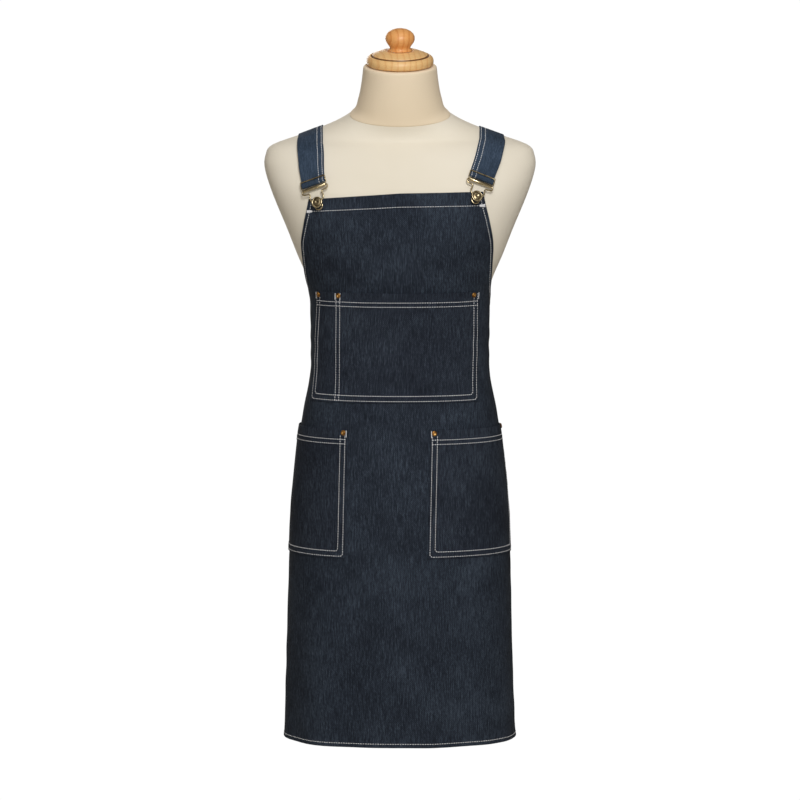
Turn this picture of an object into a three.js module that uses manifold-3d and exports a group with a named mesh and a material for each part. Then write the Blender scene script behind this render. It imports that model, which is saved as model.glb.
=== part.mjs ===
// A denim cross-back apron hanging on a headless dress form with a turned neck cap.
// Millimetres, +Z up, the front faces -Y, +X is the viewer's right.
// The origin is the mouth of the stand socket, at the centre of the form's underside.
import * as THREE from 'three'
import Module from 'manifold-3d'
import { mergeVertices } from 'three/addons/utils/BufferGeometryUtils.js'

// ---------------------------------------------------------------- driving dimensions
const FORM_SIDES = 28 // facets round the form
const CLEARANCE = 0.3 // left between pieces that touch
const COVER = 1.3 // jersey cover of the form, drawn tight
const BOARD = { bottom: 3.3, top: 15.3, inset: 2 }
const SOCKET = { bore: 12.7, outer: 15, plate: 46, thick: 3, height: 72 }
const FLANGE_SCREW = { count: 4, circle: 33, head: 4, shank: 2, length: 13 }
const NECK_SEAM = 646 // height of the seam where the neck cover starts
const NECK_TOP = { y: -10.3, z: 716.7, tilt: THREE.MathUtils.degToRad(11.3) }
const CAP = { radius: 49.6, groove: 41.6, knob: 21, bolt: 4 }

const HEM = -291
const BIB_TOP = 531
const CORNER = 315 // height of the waist corners, where the ties start
const HALF_APRON = 310 // half the cut width of the skirt
const DENIM = 1 // body sheet
const POCKET = { thick: 0.9, lift: 1.9 } // lift is from the middle of the body sheet
// spread is how much further out each side is at the bottom than at the top.
const CHEST = { left: -132.5, right: 134.5, spread: 4, bottom: 221, top: 384.5, rivets: [-125.2, -86, 122.8] }
const HIP = { inner: 62, outer: 237, lean: 4, bottom: -8, top: 181.5 } // lean is towards -X at the bottom
// over and behind are the gaps left between the rivet and the cloth.
const RIVET = {
  cap: 4, rise: 2.4, shank: 1.5, burr: 4.2, inset: 5.5, drop: 4.5, over: 0.9, behind: 1.1, gauge: 0.8,
}

// lift is from the form's surface to the strap's middle, and sewn from the apron to its ends.
const STRAP = { half: 18.6, thick: 1.4, lift: 3.4, sewn: 2.9 }
const BAR = { reach: 18.2, radius: 2.2, bore: 1.5, w: 24 } // tube that carries the hook
const SLIDER = { half: 20.3, slot: 18.9, top: 38.8, plane: 6, thick: 1.6 }
const WIRE = 1.1 // radius of the hook's wire
// seat is the gap between the button and the cloth.
const BUTTON = { cap: 8.5, under: 9, top: 12.2, shank: 2.6, bore: 1.5, seat: 0.5 }
const TACK = { head: 4.5, post: 1.2, top: 7.9, gauge: 0.8, behind: 1.3 } // behind is its gap to the cloth
const TIE = { half: 12, thick: 1, z: 280 }

const DENIM_BLUE = 0x28303c
const STRAP_BLUE = 0x3b4a5c
const JERSEY = 0xe7dfcd
const PINE = 0xe1b078
const BRASS = 0x8a7850
const STEEL = 0x9a9c9e

// ---------------------------------------------------------------- shape of the form and of the hanging cloth
// Each row is height, half width, depth to the front, depth to the back, y of the middle,
// tilt of the level (rise per mm towards the back) and squareness of the outline.
const FORM = [
  [15.6, 162, 110, 116, 0, 0, 2.2],
  [60, 159.5, 112, 119, 0, 0, 2.2],
  [120, 153.5, 104, 112, 0, 0, 2.2],
  [205, 141, 90, 92, 0, 0, 2.2],
  [260, 131, 82, 80, 0, 0, 2.2],
  [320, 129.8, 80, 77, 0, 0, 2.2],
  [385, 133.5, 93, 82, 0, 0, 2.2],
  [440, 155, 110, 90, 0, 0, 2.2],
  [475, 168.7, 112, 95, 0, 0, 2.2],
  [529, 191, 102, 97, 4, 0, 2.3],
  [565, 202, 84, 93, 8, 0, 2.3],
  [583, 201, 72, 86, 10, 0, 2.3],
  [599, 190.5, 60, 74, 12, 0.04, 2.2],
  [615, 141.5, 50, 62, 12, 0.18, 2.1],
  [631, 97, 48, 56, 10, 0.3, 2.05],
  [648, 70, 50, 55, 6, 0.34, 2],
  [669, 61.5, 53, 53, 1, 0.28, 2],
  [690, 57.2, 54, 51, -4, 0.22, 2],
  [707, 55, 54, 50, -8, 0.2, 2],
  [716.7, 54, 53.5, 49.7, -10.3, 0.2, 2],
]
const CLOTH = [
  [-291, 174.8, 115, 131, 0, 0, 2.2],
  [-177, 171.3, 116, 128, 0, 0, 2.2],
  [-85, 168.8, 117, 126, 0, 0, 2.2],
  [5, 165.6, 118, 124, 0, 0, 2.2],
  [60, 162.5, 117, 122.5, 0, 0, 2.2],
  [96, 159.3, 115, 118, 0, 0, 2.2],
  [150, 153, 110, 108, 0, 0, 2.2],
  [205, 144, 103, 97, 0, 0, 2.2],
  [260, 134, 95, 86, 0, 0, 2.2],
  [313, 133.3, 91, 81.5, 0, 0, 2.2],
  [350, 133.8, 96, 82.6, 0, 0, 2.2],
  [367, 134, 98, 83.5, 0, 0, 2.2],
  [385, 136.8, 101, 86, 0, 0, 2.2],
  [403, 144, 106, 88, 0, 0, 2.2],
  [440, 158, 113, 93, 0, 0, 2.2],
  [475, 171.7, 115, 98, 0, 0, 2.2],
  [529, 194, 105, 100, 4, 0, 2.3],
  [565, 205, 87, 96, 8, 0, 2.3],
]
// Half width of the apron by height: the armholes curve in from the waist corners to the bib.
const ARMHOLE = [
  [CORNER, HALF_APRON], [322, 292], [335, 255], [352, 222], [370, 195], [385, 176],
  [403, 166], [425, 161], [457, 156], [485, 146], [510, 137], [BIB_TOP, 131],
]
const SKIRT_ROWS = [HEM, -235, -180, -125, -70, -15, 35, 80, 125, 170, 210, 245, 280]

// One row of a table at any height, on a smooth curve through its rows.
function rowAt(table, z) {
  const height = Math.min(Math.max(z, table[0][0]), table.at(-1)[0])
  let i = 0
  while (i < table.length - 2 && height > table[i + 1][0]) i++
  const before = table[Math.max(i - 1, 0)]
  const from = table[i]
  const to = table[i + 1]
  const after = table[Math.min(i + 2, table.length - 1)]
  const span = to[0] - from[0]
  const t = (height - from[0]) / span
  return from.slice(1).map((value, k) => {
    const leave = (to[k + 1] - before[k + 1]) / (to[0] - before[0])
    const arrive = (after[k + 1] - value) / (after[0] - from[0])
    return (2 * t ** 3 - 3 * t ** 2 + 1) * value + (t ** 3 - 2 * t ** 2 + t) * span * leave
      + (3 * t ** 2 - 2 * t ** 3) * to[k + 1] + (t ** 3 - t ** 2) * span * arrive
  })
}

function straightRow(table, z) {
  let i = 0
  while (i < table.length - 2 && z > table[i + 1][0]) i++
  const t = (z - table[i][0]) / (table[i + 1][0] - table[i][0])
  return THREE.MathUtils.lerp(table[i][1], table[i + 1][1], Math.min(Math.max(t, 0), 1))
}

const signedPower = (value, power) => Math.sign(value) * Math.abs(value) ** power

// A point of an outline: turn is 0 at the front middle and grows towards +X.
function outlinePoint(table, z, turn, inset = 0) {
  const [half, front, back, middle, tilt, square] = rowAt(table, z)
  const across = signedPower(Math.sin(turn), 2 / square)
  const along = signedPower(Math.cos(turn), 2 / square)
  const depth = (along > 0 ? front : back) - inset
  const y = -depth * along
  return new THREE.Vector3((half - inset) * across, middle + y, z + tilt * y)
}

function outwardAt(table, z, turn) {
  const round = outlinePoint(table, z, turn + 0.001).sub(outlinePoint(table, z, turn - 0.001))
  const up = outlinePoint(table, z + 0.5, turn).sub(outlinePoint(table, z - 0.5, turn))
  return round.cross(up).normalize()
}

// The form's surface at a given x and height, on the front or the back.
function onForm(x, z, back = false, lift = 0) {
  const [half, , , , , square] = rowAt(FORM, z)
  const quarter = Math.asin(Math.min(1, (Math.abs(x) / half) ** (square / 2)))
  const turn = Math.sign(x) * (back ? Math.PI - quarter : quarter)
  const normal = outwardAt(FORM, z, turn)
  return { point: outlinePoint(FORM, z, turn).addScaledVector(normal, lift), normal }
}

// The cloth's surface at s mm round from the front middle, at a given height.
const ARC_STEPS = 240
const arcTables = new Map()
function arcTable(z) {
  const key = z.toFixed(2)
  if (!arcTables.has(key)) {
    const lengths = [0]
    let last = outlinePoint(CLOTH, z, 0)
    for (let i = 1; i <= ARC_STEPS; i++) {
      const next = outlinePoint(CLOTH, z, (Math.PI * i) / ARC_STEPS)
      lengths.push(lengths.at(-1) + next.distanceTo(last))
      last = next
    }
    arcTables.set(key, lengths)
  }
  return arcTables.get(key)
}

function onCloth(s, z, lift = 0) {
  const lengths = arcTable(z)
  const wanted = Math.min(Math.abs(s), lengths.at(-1) - 0.01)
  let i = 0
  while (lengths[i + 1] < wanted) i++
  const part = (wanted - lengths[i]) / (lengths[i + 1] - lengths[i])
  const turn = Math.sign(s) * Math.PI * ((i + part) / ARC_STEPS)
  const normal = outwardAt(CLOTH, z, turn)
  return { point: outlinePoint(CLOTH, z, turn).addScaledVector(normal, lift), normal }
}

// The apron sits a little round to the viewer's left, more at the hips than at the bib.
const drift = (z) => -7 - 10 * Math.min(Math.max((385 - z) / 205, 0), 1)

// The bib's top edge is lower on the viewer's left, where the strap is let out further.
function bibHeight(s, z) {
  const share = Math.max(0, (z - 440) / (BIB_TOP - 440))
  return z + share * (s < 0 ? 0.068 : 0.015) * s
}

function apronPoint(s, z, lift = 0) {
  return onCloth(s + drift(z), bibHeight(s, z), lift)
}

// ---------------------------------------------------------------- closed bodies
function closedGeometry(points, index) {
  const geometry = new THREE.BufferGeometry()
  geometry.setAttribute('position', new THREE.Float32BufferAttribute(points.flatMap((p) => p.toArray()), 3))
  geometry.setIndex(index)
  geometry.computeVertexNormals()
  return geometry
}

// A body through rings of points; its ends are capped, or joined when it is the wall of a sleeve.
function loft(rings, sleeve = false) {
  const count = rings[0].length
  const index = []
  for (let i = 0; i < (sleeve ? rings.length : rings.length - 1); i++) {
    const low = i * count
    const high = ((i + 1) % rings.length) * count
    // Walls going up and down split their quads the same way, so that nested skins stay parallel.
    const goingDown = sleeve && rings[i][0].z > rings[(i + 1) % rings.length][0].z
    for (let j = 0; j < count; j++) {
      const next = (j + 1) % count
      if (goingDown) index.push(low + j, low + next, high + j, low + next, high + next, high + j)
      else index.push(low + j, low + next, high + next, low + j, high + next, high + j)
    }
  }
  if (!sleeve) {
    const top = (rings.length - 1) * count
    for (let j = 1; j < count - 1; j++) index.push(0, j + 1, j, top, top + j, top + j + 1)
  }
  return closedGeometry(rings.flat(), index)
}

// A curved sheet with thickness; place(u, v, lift) gives its surface for u and v from 0 to 1.
function sheet(place, columns, rows, thickness) {
  const points = []
  for (const lift of [thickness / 2, -thickness / 2]) {
    for (let v = 0; v <= rows; v++) {
      for (let u = 0; u <= columns; u++) points.push(place(u / columns, v / rows, lift).point)
    }
  }
  const layer = (columns + 1) * (rows + 1)
  const at = (u, v) => v * (columns + 1) + u
  const index = []
  for (let v = 0; v < rows; v++) {
    for (let u = 0; u < columns; u++) {
      const [a, b, c, d] = [at(u, v), at(u + 1, v), at(u + 1, v + 1), at(u, v + 1)]
      // The shorter diagonal keeps slanted cells close to the curved surface.
      const leaning = points[a].distanceTo(points[c]) > points[b].distanceTo(points[d])
      const halves = leaning ? [[a, b, d], [b, c, d]] : [[a, b, c], [a, c, d]]
      for (const [p, q, r] of halves) index.push(p, q, r, p + layer, r + layer, q + layer)
    }
  }
  const edge = (a, b) => index.push(a + layer, b + layer, b, a + layer, b, a)
  for (let u = 0; u < columns; u++) {
    edge(at(u, 0), at(u + 1, 0))
    edge(at(u + 1, rows), at(u, rows))
  }
  for (let v = 0; v < rows; v++) {
    edge(at(0, v + 1), at(0, v))
    edge(at(columns, v), at(columns, v + 1))
  }
  return closedGeometry(points, index)
}

// A flat band along knots, each with a point and the direction that its outer face looks.
function band(knots, half, thickness, steps) {
  const route = new THREE.CatmullRomCurve3(knots.map((k) => k.point))
  const facing = new THREE.CatmullRomCurve3(knots.map((k) => k.point.clone().addScaledVector(k.normal, 10)))
  const rings = []
  for (let i = 0; i <= steps; i++) {
    const t = i / steps
    const point = route.getPoint(t)
    const along = route.getTangent(t)
    const normal = facing.getPoint(t).sub(point)
    normal.addScaledVector(along, -normal.dot(along)).normalize()
    const across = normal.clone().cross(along)
    const corner = (a, n) => point.clone().addScaledVector(across, a * half)
      .addScaledVector(normal, (n * thickness) / 2)
    rings.push([corner(1, 1), corner(-1, 1), corner(-1, -1), corner(1, -1)])
  }
  return loft(rings)
}

const wasm = await Module()
wasm.setup()

function solid(geometry, matrix = new THREE.Matrix4()) {
  const bare = geometry.clone().applyMatrix4(matrix)
  bare.deleteAttribute('normal')
  if (bare.hasAttribute('uv')) bare.deleteAttribute('uv')
  const merged = mergeVertices(bare, 1e-4)
  return new wasm.Manifold(new wasm.Mesh({
    numProp: 3,
    vertProperties: new Float32Array(merged.attributes.position.array),
    triVerts: new Uint32Array(merged.index.array),
  }))
}

function fromSolid(body) {
  const { vertProperties, triVerts } = body.getMesh()
  const geometry = new THREE.BufferGeometry()
  geometry.setAttribute('position', new THREE.BufferAttribute(new Float32Array(vertProperties), 3))
  geometry.setIndex(new THREE.BufferAttribute(new Uint32Array(triVerts), 1))
  geometry.computeVertexNormals()
  return geometry
}

const cut = (geometry, cutters) =>
  fromSolid(cutters.reduce((body, cutter) => body.subtract(cutter), solid(geometry)))

// A turned piece: pairs of radius and height, closed on the axis or on itself, round local Y.
const turned = (outline, sides) =>
  new THREE.LatheGeometry(outline.map(([r, h]) => new THREE.Vector2(r, h)), sides)
const lathe = (outline, sides) => turned(outline, sides).rotateX(Math.PI / 2) // round Z instead
const rod = (radius, from, to, sides = 12) => lathe([[0, from], [radius, from], [radius, to], [0, to]], sides)

function frameMatrix(origin, x, y, z) {
  return new THREE.Matrix4().makeBasis(x, y, z).setPosition(origin)
}

// ---------------------------------------------------------------- scene graph
const apronOnForm = new THREE.Group()
function add(name, geometry, colour, roughness = 0.9, metalness = 0, matrix = null) {
  const material = new THREE.MeshStandardMaterial({ color: colour, roughness, metalness })
  const mesh = new THREE.Mesh(geometry, material)
  mesh.name = name
  if (matrix) mesh.applyMatrix4(matrix)
  apronOnForm.add(mesh)
}

// ---------------------------------------------------------------- dress form
const TORSO_LEVELS = [
  15.6, 60, 120, 190, 260, 320, 375, 410, 440, 475, 510, 540, 562, 580, 593, 603, 612, 622, 634, NECK_SEAM,
]
const NECK_LEVELS = [NECK_SEAM + CLEARANCE, 654, 664, 678, 696, NECK_TOP.z]
const formRing = (z, inset) => Array.from({ length: FORM_SIDES }, (_, j) =>
  outlinePoint(FORM, z, (2 * Math.PI * j) / FORM_SIDES, inset))
const sleeveOf = (levels) => loft([
  ...levels.map((z) => formRing(z, COVER)).reverse(),
  ...levels.map((z) => formRing(z, 0)),
], true)

const neckAxis = new THREE.Vector3(0, -Math.sin(NECK_TOP.tilt), Math.cos(NECK_TOP.tilt))
const neckFrame = frameMatrix(
  new THREE.Vector3(0, NECK_TOP.y, NECK_TOP.z),
  new THREE.Vector3(1, 0, 0), neckAxis.clone().cross(new THREE.Vector3(1, 0, 0)), neckAxis,
)
const PLUG = { radius: 30, depth: 44 }
const foam = loft([...TORSO_LEVELS, ...NECK_LEVELS.slice(1)].map((z) => formRing(z, COVER + CLEARANCE)))
add('form_core', cut(foam, [
  solid(rod(SOCKET.outer + 0.6, 10, SOCKET.height + 4, 16)),
  solid(rod(PLUG.radius + CLEARANCE, -PLUG.depth - CLEARANCE, 20, 20), neckFrame),
]), 0xf2efe6)
add('torso_cover', sleeveOf(TORSO_LEVELS), JERSEY)
add('neck_cover', sleeveOf(NECK_LEVELS), 0xe1cfb4)

add('neck_plug', cut(rod(PLUG.radius, -PLUG.depth, -0.4, 20), [
  solid(rod(CAP.bolt + CLEARANCE, -36, 1)),
]), PINE, 0.6, 0, neckFrame)

// The cap is a turned disc with a rounded rim, a step and a hole for the bolt.
const capOutline = [
  [CAP.bolt + 0.1, 0.6], [CAP.radius - 3, 0.6], [CAP.radius, 4], [CAP.radius + 0.3, 8], [CAP.radius - 1.6, 12],
  [CAP.groove + 2, 15], [CAP.groove, 16.4], [CAP.groove - 3, 18.6], [CAP.knob + 2, 21], [CAP.bolt + 0.1, 21],
  [CAP.bolt + 0.1, 0.6],
]
add('neck_cap', lathe(capOutline, 22), PINE, 0.45, 0, neckFrame)
const knobOutline = [
  [CAP.bolt + 0.1, 21.4], [18, 21.4], [15.5, 25], [15.5, 28], [20, 33], [CAP.knob + 1, 40], [19, 48], [11, 54],
  [0, 56], [0, 45], [CAP.bolt + 0.1, 45], [CAP.bolt + 0.1, 21.4],
]
add('neck_knob', lathe(knobOutline, 14), 0xd9944f, 0.45, 0, neckFrame)
add('cap_bolt', rod(CAP.bolt, -32, 44.6), STEEL, 0.4, 1, neckFrame)

// ---------------------------------------------------------------- underside of the form
const screwPlaces = Array.from({ length: FLANGE_SCREW.count }, (_, i) => {
  const angle = Math.PI / 4 + (2 * Math.PI * i) / FLANGE_SCREW.count
  return new THREE.Matrix4().makeTranslation(
    FLANGE_SCREW.circle * Math.cos(angle), FLANGE_SCREW.circle * Math.sin(angle), 0)
})
const screwOutline = (gap) => [
  [0, 0.2 - gap], [FLANGE_SCREW.head + gap, 0.2 - gap], [FLANGE_SCREW.shank + gap, 2.4 + gap],
  [FLANGE_SCREW.shank + gap, FLANGE_SCREW.length + gap], [0, FLANGE_SCREW.length + gap],
]
const screwHoles = screwPlaces.map((place) => solid(lathe(screwOutline(CLEARANCE), 10), place))

const boardRing = (z) => Array.from({ length: FORM_SIDES }, (_, j) => {
  const point = outlinePoint(FORM, BOARD.top, (2 * Math.PI * j) / FORM_SIDES, BOARD.inset)
  return point.setZ(z)
})
add('base_board', cut(loft([boardRing(BOARD.bottom), boardRing(BOARD.top)]), [
  solid(rod(SOCKET.outer + CLEARANCE, 0, 20, 16)), ...screwHoles,
]), 0xc9a878, 0.7)

const flangeOutline = [
  [SOCKET.bore, 0], [SOCKET.plate, 0], [SOCKET.plate, SOCKET.thick], [SOCKET.outer, SOCKET.thick],
  [SOCKET.outer, SOCKET.height], [SOCKET.bore, SOCKET.height], [SOCKET.bore, 0],
]
add('stand_flange', cut(lathe(flangeOutline, 16), screwHoles), STEEL, 0.4, 1)
screwPlaces.forEach((place, i) => {
  add(`flange_screw_${i + 1}`, lathe(screwOutline(0), 10), STEEL, 0.4, 1, place)
})

// ---------------------------------------------------------------- places of the small brass
// x runs across the piece, y up it and z straight out of the cloth.
function clothFrame(s, z) {
  const { point, normal } = apronPoint(s, z)
  const across = new THREE.Vector3(0, 0, 1).cross(normal).normalize()
  return frameMatrix(point, across, normal.clone().cross(across), normal)
}
const rivetPlaces = {
  chest_outer: clothFrame(CHEST.rivets[0], CHEST.top - RIVET.drop),
  chest_divider: clothFrame(CHEST.rivets[1], CHEST.top - RIVET.drop),
  chest_inner: clothFrame(CHEST.rivets[2], CHEST.top - RIVET.drop),
  hip_left_inner: clothFrame(-HIP.inner - RIVET.inset, HIP.top - RIVET.drop),
  hip_left_outer: clothFrame(-HIP.outer + RIVET.inset, HIP.top - RIVET.drop),
  hip_right_inner: clothFrame(HIP.inner + RIVET.inset, HIP.top - RIVET.drop),
  hip_right_outer: clothFrame(HIP.outer - RIVET.inset, HIP.top - RIVET.drop),
}

// A buckle lies in a plane that touches the form between its button and its slider.
const TOUCH = 18 // height of that touch above the button
function buckleFrame(x, z, leanDegrees) {
  const { point, normal } = onForm(x, z)
  const up = new THREE.Vector3(0, 0, 1).addScaledVector(normal, -normal.z).normalize()
  up.applyAxisAngle(normal, -THREE.MathUtils.degToRad(leanDegrees))
  return frameMatrix(point.addScaledVector(up, -TOUCH), up.clone().cross(normal), up, normal)
}
const buckleFrames = { left: buckleFrame(-122.5, 531.5, -20), right: buckleFrame(115, 538.5, 23) }

// How far out the middle of the bib's cloth lies along a button's post.
function clothOut(frame) {
  const origin = new THREE.Vector3().setFromMatrixPosition(frame)
  const out = new THREE.Vector3().setFromMatrixColumn(frame, 2)
  const [half, , , , , square] = rowAt(CLOTH, origin.z)
  const turn = Math.sign(origin.x) * Math.asin((Math.abs(origin.x) / half) ** (square / 2))
  const near = outlinePoint(CLOTH, origin.z, turn)
  const normal = outwardAt(CLOTH, origin.z, turn)
  return near.sub(origin).dot(normal) / out.dot(normal)
}

// ---------------------------------------------------------------- apron body and pockets
const rivetHoles = Object.values(rivetPlaces).map((place) => solid(rod(RIVET.shank + 0.4, -3, 4, 8), place))
const postHoles = Object.values(buckleFrames).map((frame) => solid(rod(TACK.post + 0.5, -2, 6, 8), frame))
const bodyRows = [...SKIRT_ROWS, ...ARMHOLE.map(([z]) => z)]
const bodyHalf = (z) => (z <= CORNER ? HALF_APRON : straightRow(ARMHOLE, z))
const bodySheet = sheet((u, v, lift) => {
  const z = bodyRows[Math.round(v * (bodyRows.length - 1))]
  return apronPoint((2 * u - 1) * bodyHalf(z), z, lift)
}, 32, bodyRows.length - 1, DENIM)
add('apron_body', cut(bodySheet, [...rivetHoles, ...postHoles]), DENIM_BLUE)

function pocket(left, right, bottom, top, [leftOut, rightOut], columns, rows) {
  return cut(sheet((u, v, lift) => {
    const s = THREE.MathUtils.lerp(left - leftOut * (1 - v), right + rightOut * (1 - v), u)
    return apronPoint(s, THREE.MathUtils.lerp(bottom, top, v), lift + POCKET.lift)
  }, columns, rows, POCKET.thick), rivetHoles)
}
const both = [CHEST.spread, CHEST.spread]
const leaning = [HIP.lean, -HIP.lean]
add('chest_pocket', pocket(CHEST.left, CHEST.right, CHEST.bottom, CHEST.top, both, 18, 6), DENIM_BLUE)
add('hip_pocket_left', pocket(-HIP.outer, -HIP.inner, HIP.bottom, HIP.top, leaning, 12, 6), DENIM_BLUE)
add('hip_pocket_right', pocket(HIP.inner, HIP.outer, HIP.bottom, HIP.top, leaning, 12, 6), DENIM_BLUE)

// ---------------------------------------------------------------- rivets
const capBottom = POCKET.lift + POCKET.thick / 2 + RIVET.over
const rivetCap = lathe([
  [0, -2.6], [RIVET.shank, -2.6], [RIVET.shank, capBottom], [RIVET.cap, capBottom],
  [RIVET.cap, capBottom + 0.6], [RIVET.cap * 0.7, capBottom + RIVET.rise * 0.8], [0, capBottom + RIVET.rise],
], 8)
const burrTop = -DENIM / 2 - RIVET.behind
const rivetBurr = lathe([
  [RIVET.shank + CLEARANCE, burrTop - RIVET.gauge], [RIVET.burr, burrTop - RIVET.gauge], [RIVET.burr, burrTop],
  [RIVET.shank + CLEARANCE, burrTop], [RIVET.shank + CLEARANCE, burrTop - RIVET.gauge],
], 8)
for (const [place, matrix] of Object.entries(rivetPlaces)) {
  add(`rivet_cap_${place}`, rivetCap, 0xa9713f, 0.4, 1, matrix)
  add(`rivet_burr_${place}`, rivetBurr, 0xa9713f, 0.4, 1, matrix)
}

// ---------------------------------------------------------------- shoulder straps
// Height and depth in the buckle's own plane: over the slider's middle bar and back up behind it.
const THREADED = [
  [39.5, 3.1], [37.8, 3.9], [36.5, 4.7], [35.2, 6.1], [34, 7.5], [32.4, 8.2], [30.6, 7.8], [29.3, 6.8],
  [28.8, 5.6], [29.2, 4.4], [30.6, 3.5], [32.6, 3.2], [35, 2.6], [37.5, 2], [40.5, 1.2],
]
// Where each strap runs on the form above its slider: x, height and whether it is behind.
const STRAP_ROUTES = {
  left: [[-129.8, 568], [-131, 584], [-132.5, 598], [-133, 609], [-133, 615.5], [-132.5, 613.5, 1],
    [-130.5, 603, 1], [-126, 586, 1], [-116, 560, 1], [-101, 530, 1], [-77, 497, 1], [-51, 464, 1],
    [-25, 430, 1], [1, 396, 1], [26, 362, 1], [46, 336, 1]],
  right: [[129.5, 579], [132.5, 590], [135, 600], [136.5, 608], [136.5, 614.5], [136, 612.5, 1], [134, 603, 1],
    [129, 586, 1], [119, 560, 1], [104, 530, 1], [80, 497, 1], [55, 464, 1], [30, 430, 1], [5, 396, 1],
    [-20, 362, 1], [-40, 336, 1]],
}
function strapKnots(side) {
  const frame = buckleFrames[side]
  const axis = (column) => new THREE.Vector3().setFromMatrixColumn(frame, column)
  const threaded = THREADED.map(([w, n], i) => {
    const [beforeW, beforeN] = THREADED[Math.max(i - 1, 0)]
    const [afterW, afterN] = THREADED[Math.min(i + 1, THREADED.length - 1)]
    const facing = new THREE.Vector2(afterN - beforeN, beforeW - afterW).normalize()
    return {
      point: new THREE.Vector3(0, w, n).applyMatrix4(frame),
      normal: axis(1).multiplyScalar(facing.x).addScaledVector(axis(2), facing.y),
    }
  })
  const lead = STRAP_ROUTES[side]
  const over = lead.map(([x, z, behind], i) => {
    const onTail = Math.min(Math.max((4.5 - i) / 2, 0), 1)
    // Behind, the right strap passes over the left one and both span the hollow of the back.
    const crossing = side === 'right' && behind ? 2.6 * THREE.MathUtils.smoothstep(-z, -500, -420) : 0
    const spanning = behind ? Math.max(0, (440 - z) * 0.03) : 0
    return onForm(x, z, Boolean(behind), STRAP.lift + 1.2 * onTail + crossing + spanning)
  })
  const endAt = side === 'left' ? HALF_APRON - 26 : -HALF_APRON + 26
  const sewn = [CORNER - 1, CORNER - 18].map((z) =>
    apronPoint(endAt, z, DENIM / 2 + STRAP.thick / 2 + STRAP.sewn))
  // The end that is folded back behind the slider lies on the form, with its outer face inwards.
  const tail = lead.slice(0, 3).map(([x, z]) => onForm(x, z, false, STRAP.lift - STRAP.thick - 0.1))
    .map(({ point, normal }) => ({ point, normal: normal.negate() }))
  return [...sewn.reverse(), ...over.reverse(), ...threaded, ...tail]
}
for (const side of ['left', 'right']) {
  add(`strap_${side}`, band(strapKnots(side), STRAP.half, STRAP.thick, 76), STRAP_BLUE)
}

// ---------------------------------------------------------------- sliders and wire hooks
function sliderGeometry() {
  const outline = new THREE.Shape([
    [-BAR.reach, BAR.w], [BAR.reach, BAR.w], [BAR.reach, BAR.w + 1.4], [SLIDER.half, BAR.w + 3.5],
    [SLIDER.half, SLIDER.top], [-SLIDER.half, SLIDER.top], [-SLIDER.half, BAR.w + 3.5],
    [-BAR.reach, BAR.w + 1.4],
  ].map(([x, y]) => new THREE.Vector2(x, y)))
  const slot = (points) => new THREE.Path(points.map(([x, y]) => new THREE.Vector2(x, y)))
  outline.holes.push(
    slot([
      [-17, 26.4], [-SLIDER.slot, 28.2], [-SLIDER.slot, 31.2], [SLIDER.slot, 31.2], [SLIDER.slot, 28.2],
      [17, 26.4],
    ]),
    slot([[-SLIDER.slot, 33], [-SLIDER.slot, 37], [SLIDER.slot, 37], [SLIDER.slot, 33]]),
  )
  const plate = new THREE.ExtrudeGeometry(outline, { depth: SLIDER.thick, bevelEnabled: false })
  plate.translate(0, 0, SLIDER.plane - SLIDER.thick / 2)
  const along = frameMatrix(new THREE.Vector3(0, BAR.w, SLIDER.plane),
    new THREE.Vector3(0, 1, 0), new THREE.Vector3(0, 0, 1), new THREE.Vector3(1, 0, 0))
  return fromSolid(solid(plate)
    .add(solid(rod(BAR.radius, -BAR.reach, BAR.reach, 12), along))
    .subtract(solid(rod(BAR.bore, -BAR.reach - 2, BAR.reach + 2, 12), along)))
}
// Half of the bent wire, from inside the tube down to the bottom of the loop.
const HALF_WIRE = [
  [0.4, BAR.w], [9, BAR.w], [17.6, BAR.w], [19.4, BAR.w - 0.4], [20.2, 22], [19.5, 19.2], [17.4, 17.6],
  [13.4, 17.2],
  [10.4, 16.6], [9.6, 14.4], [10.5, 10], [9.4, 5.4], [6, 2.4], [4.7, 0], [5.4, -3], [5.6, -5.4], [3.6, -8.8],
]
function hookGeometry() {
  const left = HALF_WIRE.map(([u, w]) => new THREE.Vector3(-u, w, SLIDER.plane))
  const right = HALF_WIRE.map(([u, w]) => new THREE.Vector3(u, w, SLIDER.plane))
  const route = new THREE.CatmullRomCurve3(
    [...right, new THREE.Vector3(0, -10.2, SLIDER.plane), ...left.reverse()])
  const section = new THREE.Shape(Array.from({ length: 6 }, (_, i) =>
    new THREE.Vector2(WIRE * Math.cos((i * Math.PI) / 3), WIRE * Math.sin((i * Math.PI) / 3))))
  return new THREE.ExtrudeGeometry(section, { steps: 50, extrudePath: route, bevelEnabled: false })
}
const slider = sliderGeometry()
const hook = hookGeometry()
for (const [side, frame] of Object.entries(buckleFrames)) {
  add(`slider_${side}`, slider, BRASS, 0.4, 1, frame)
  add(`hook_${side}`, hook, BRASS, 0.4, 1, frame)
}

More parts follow.
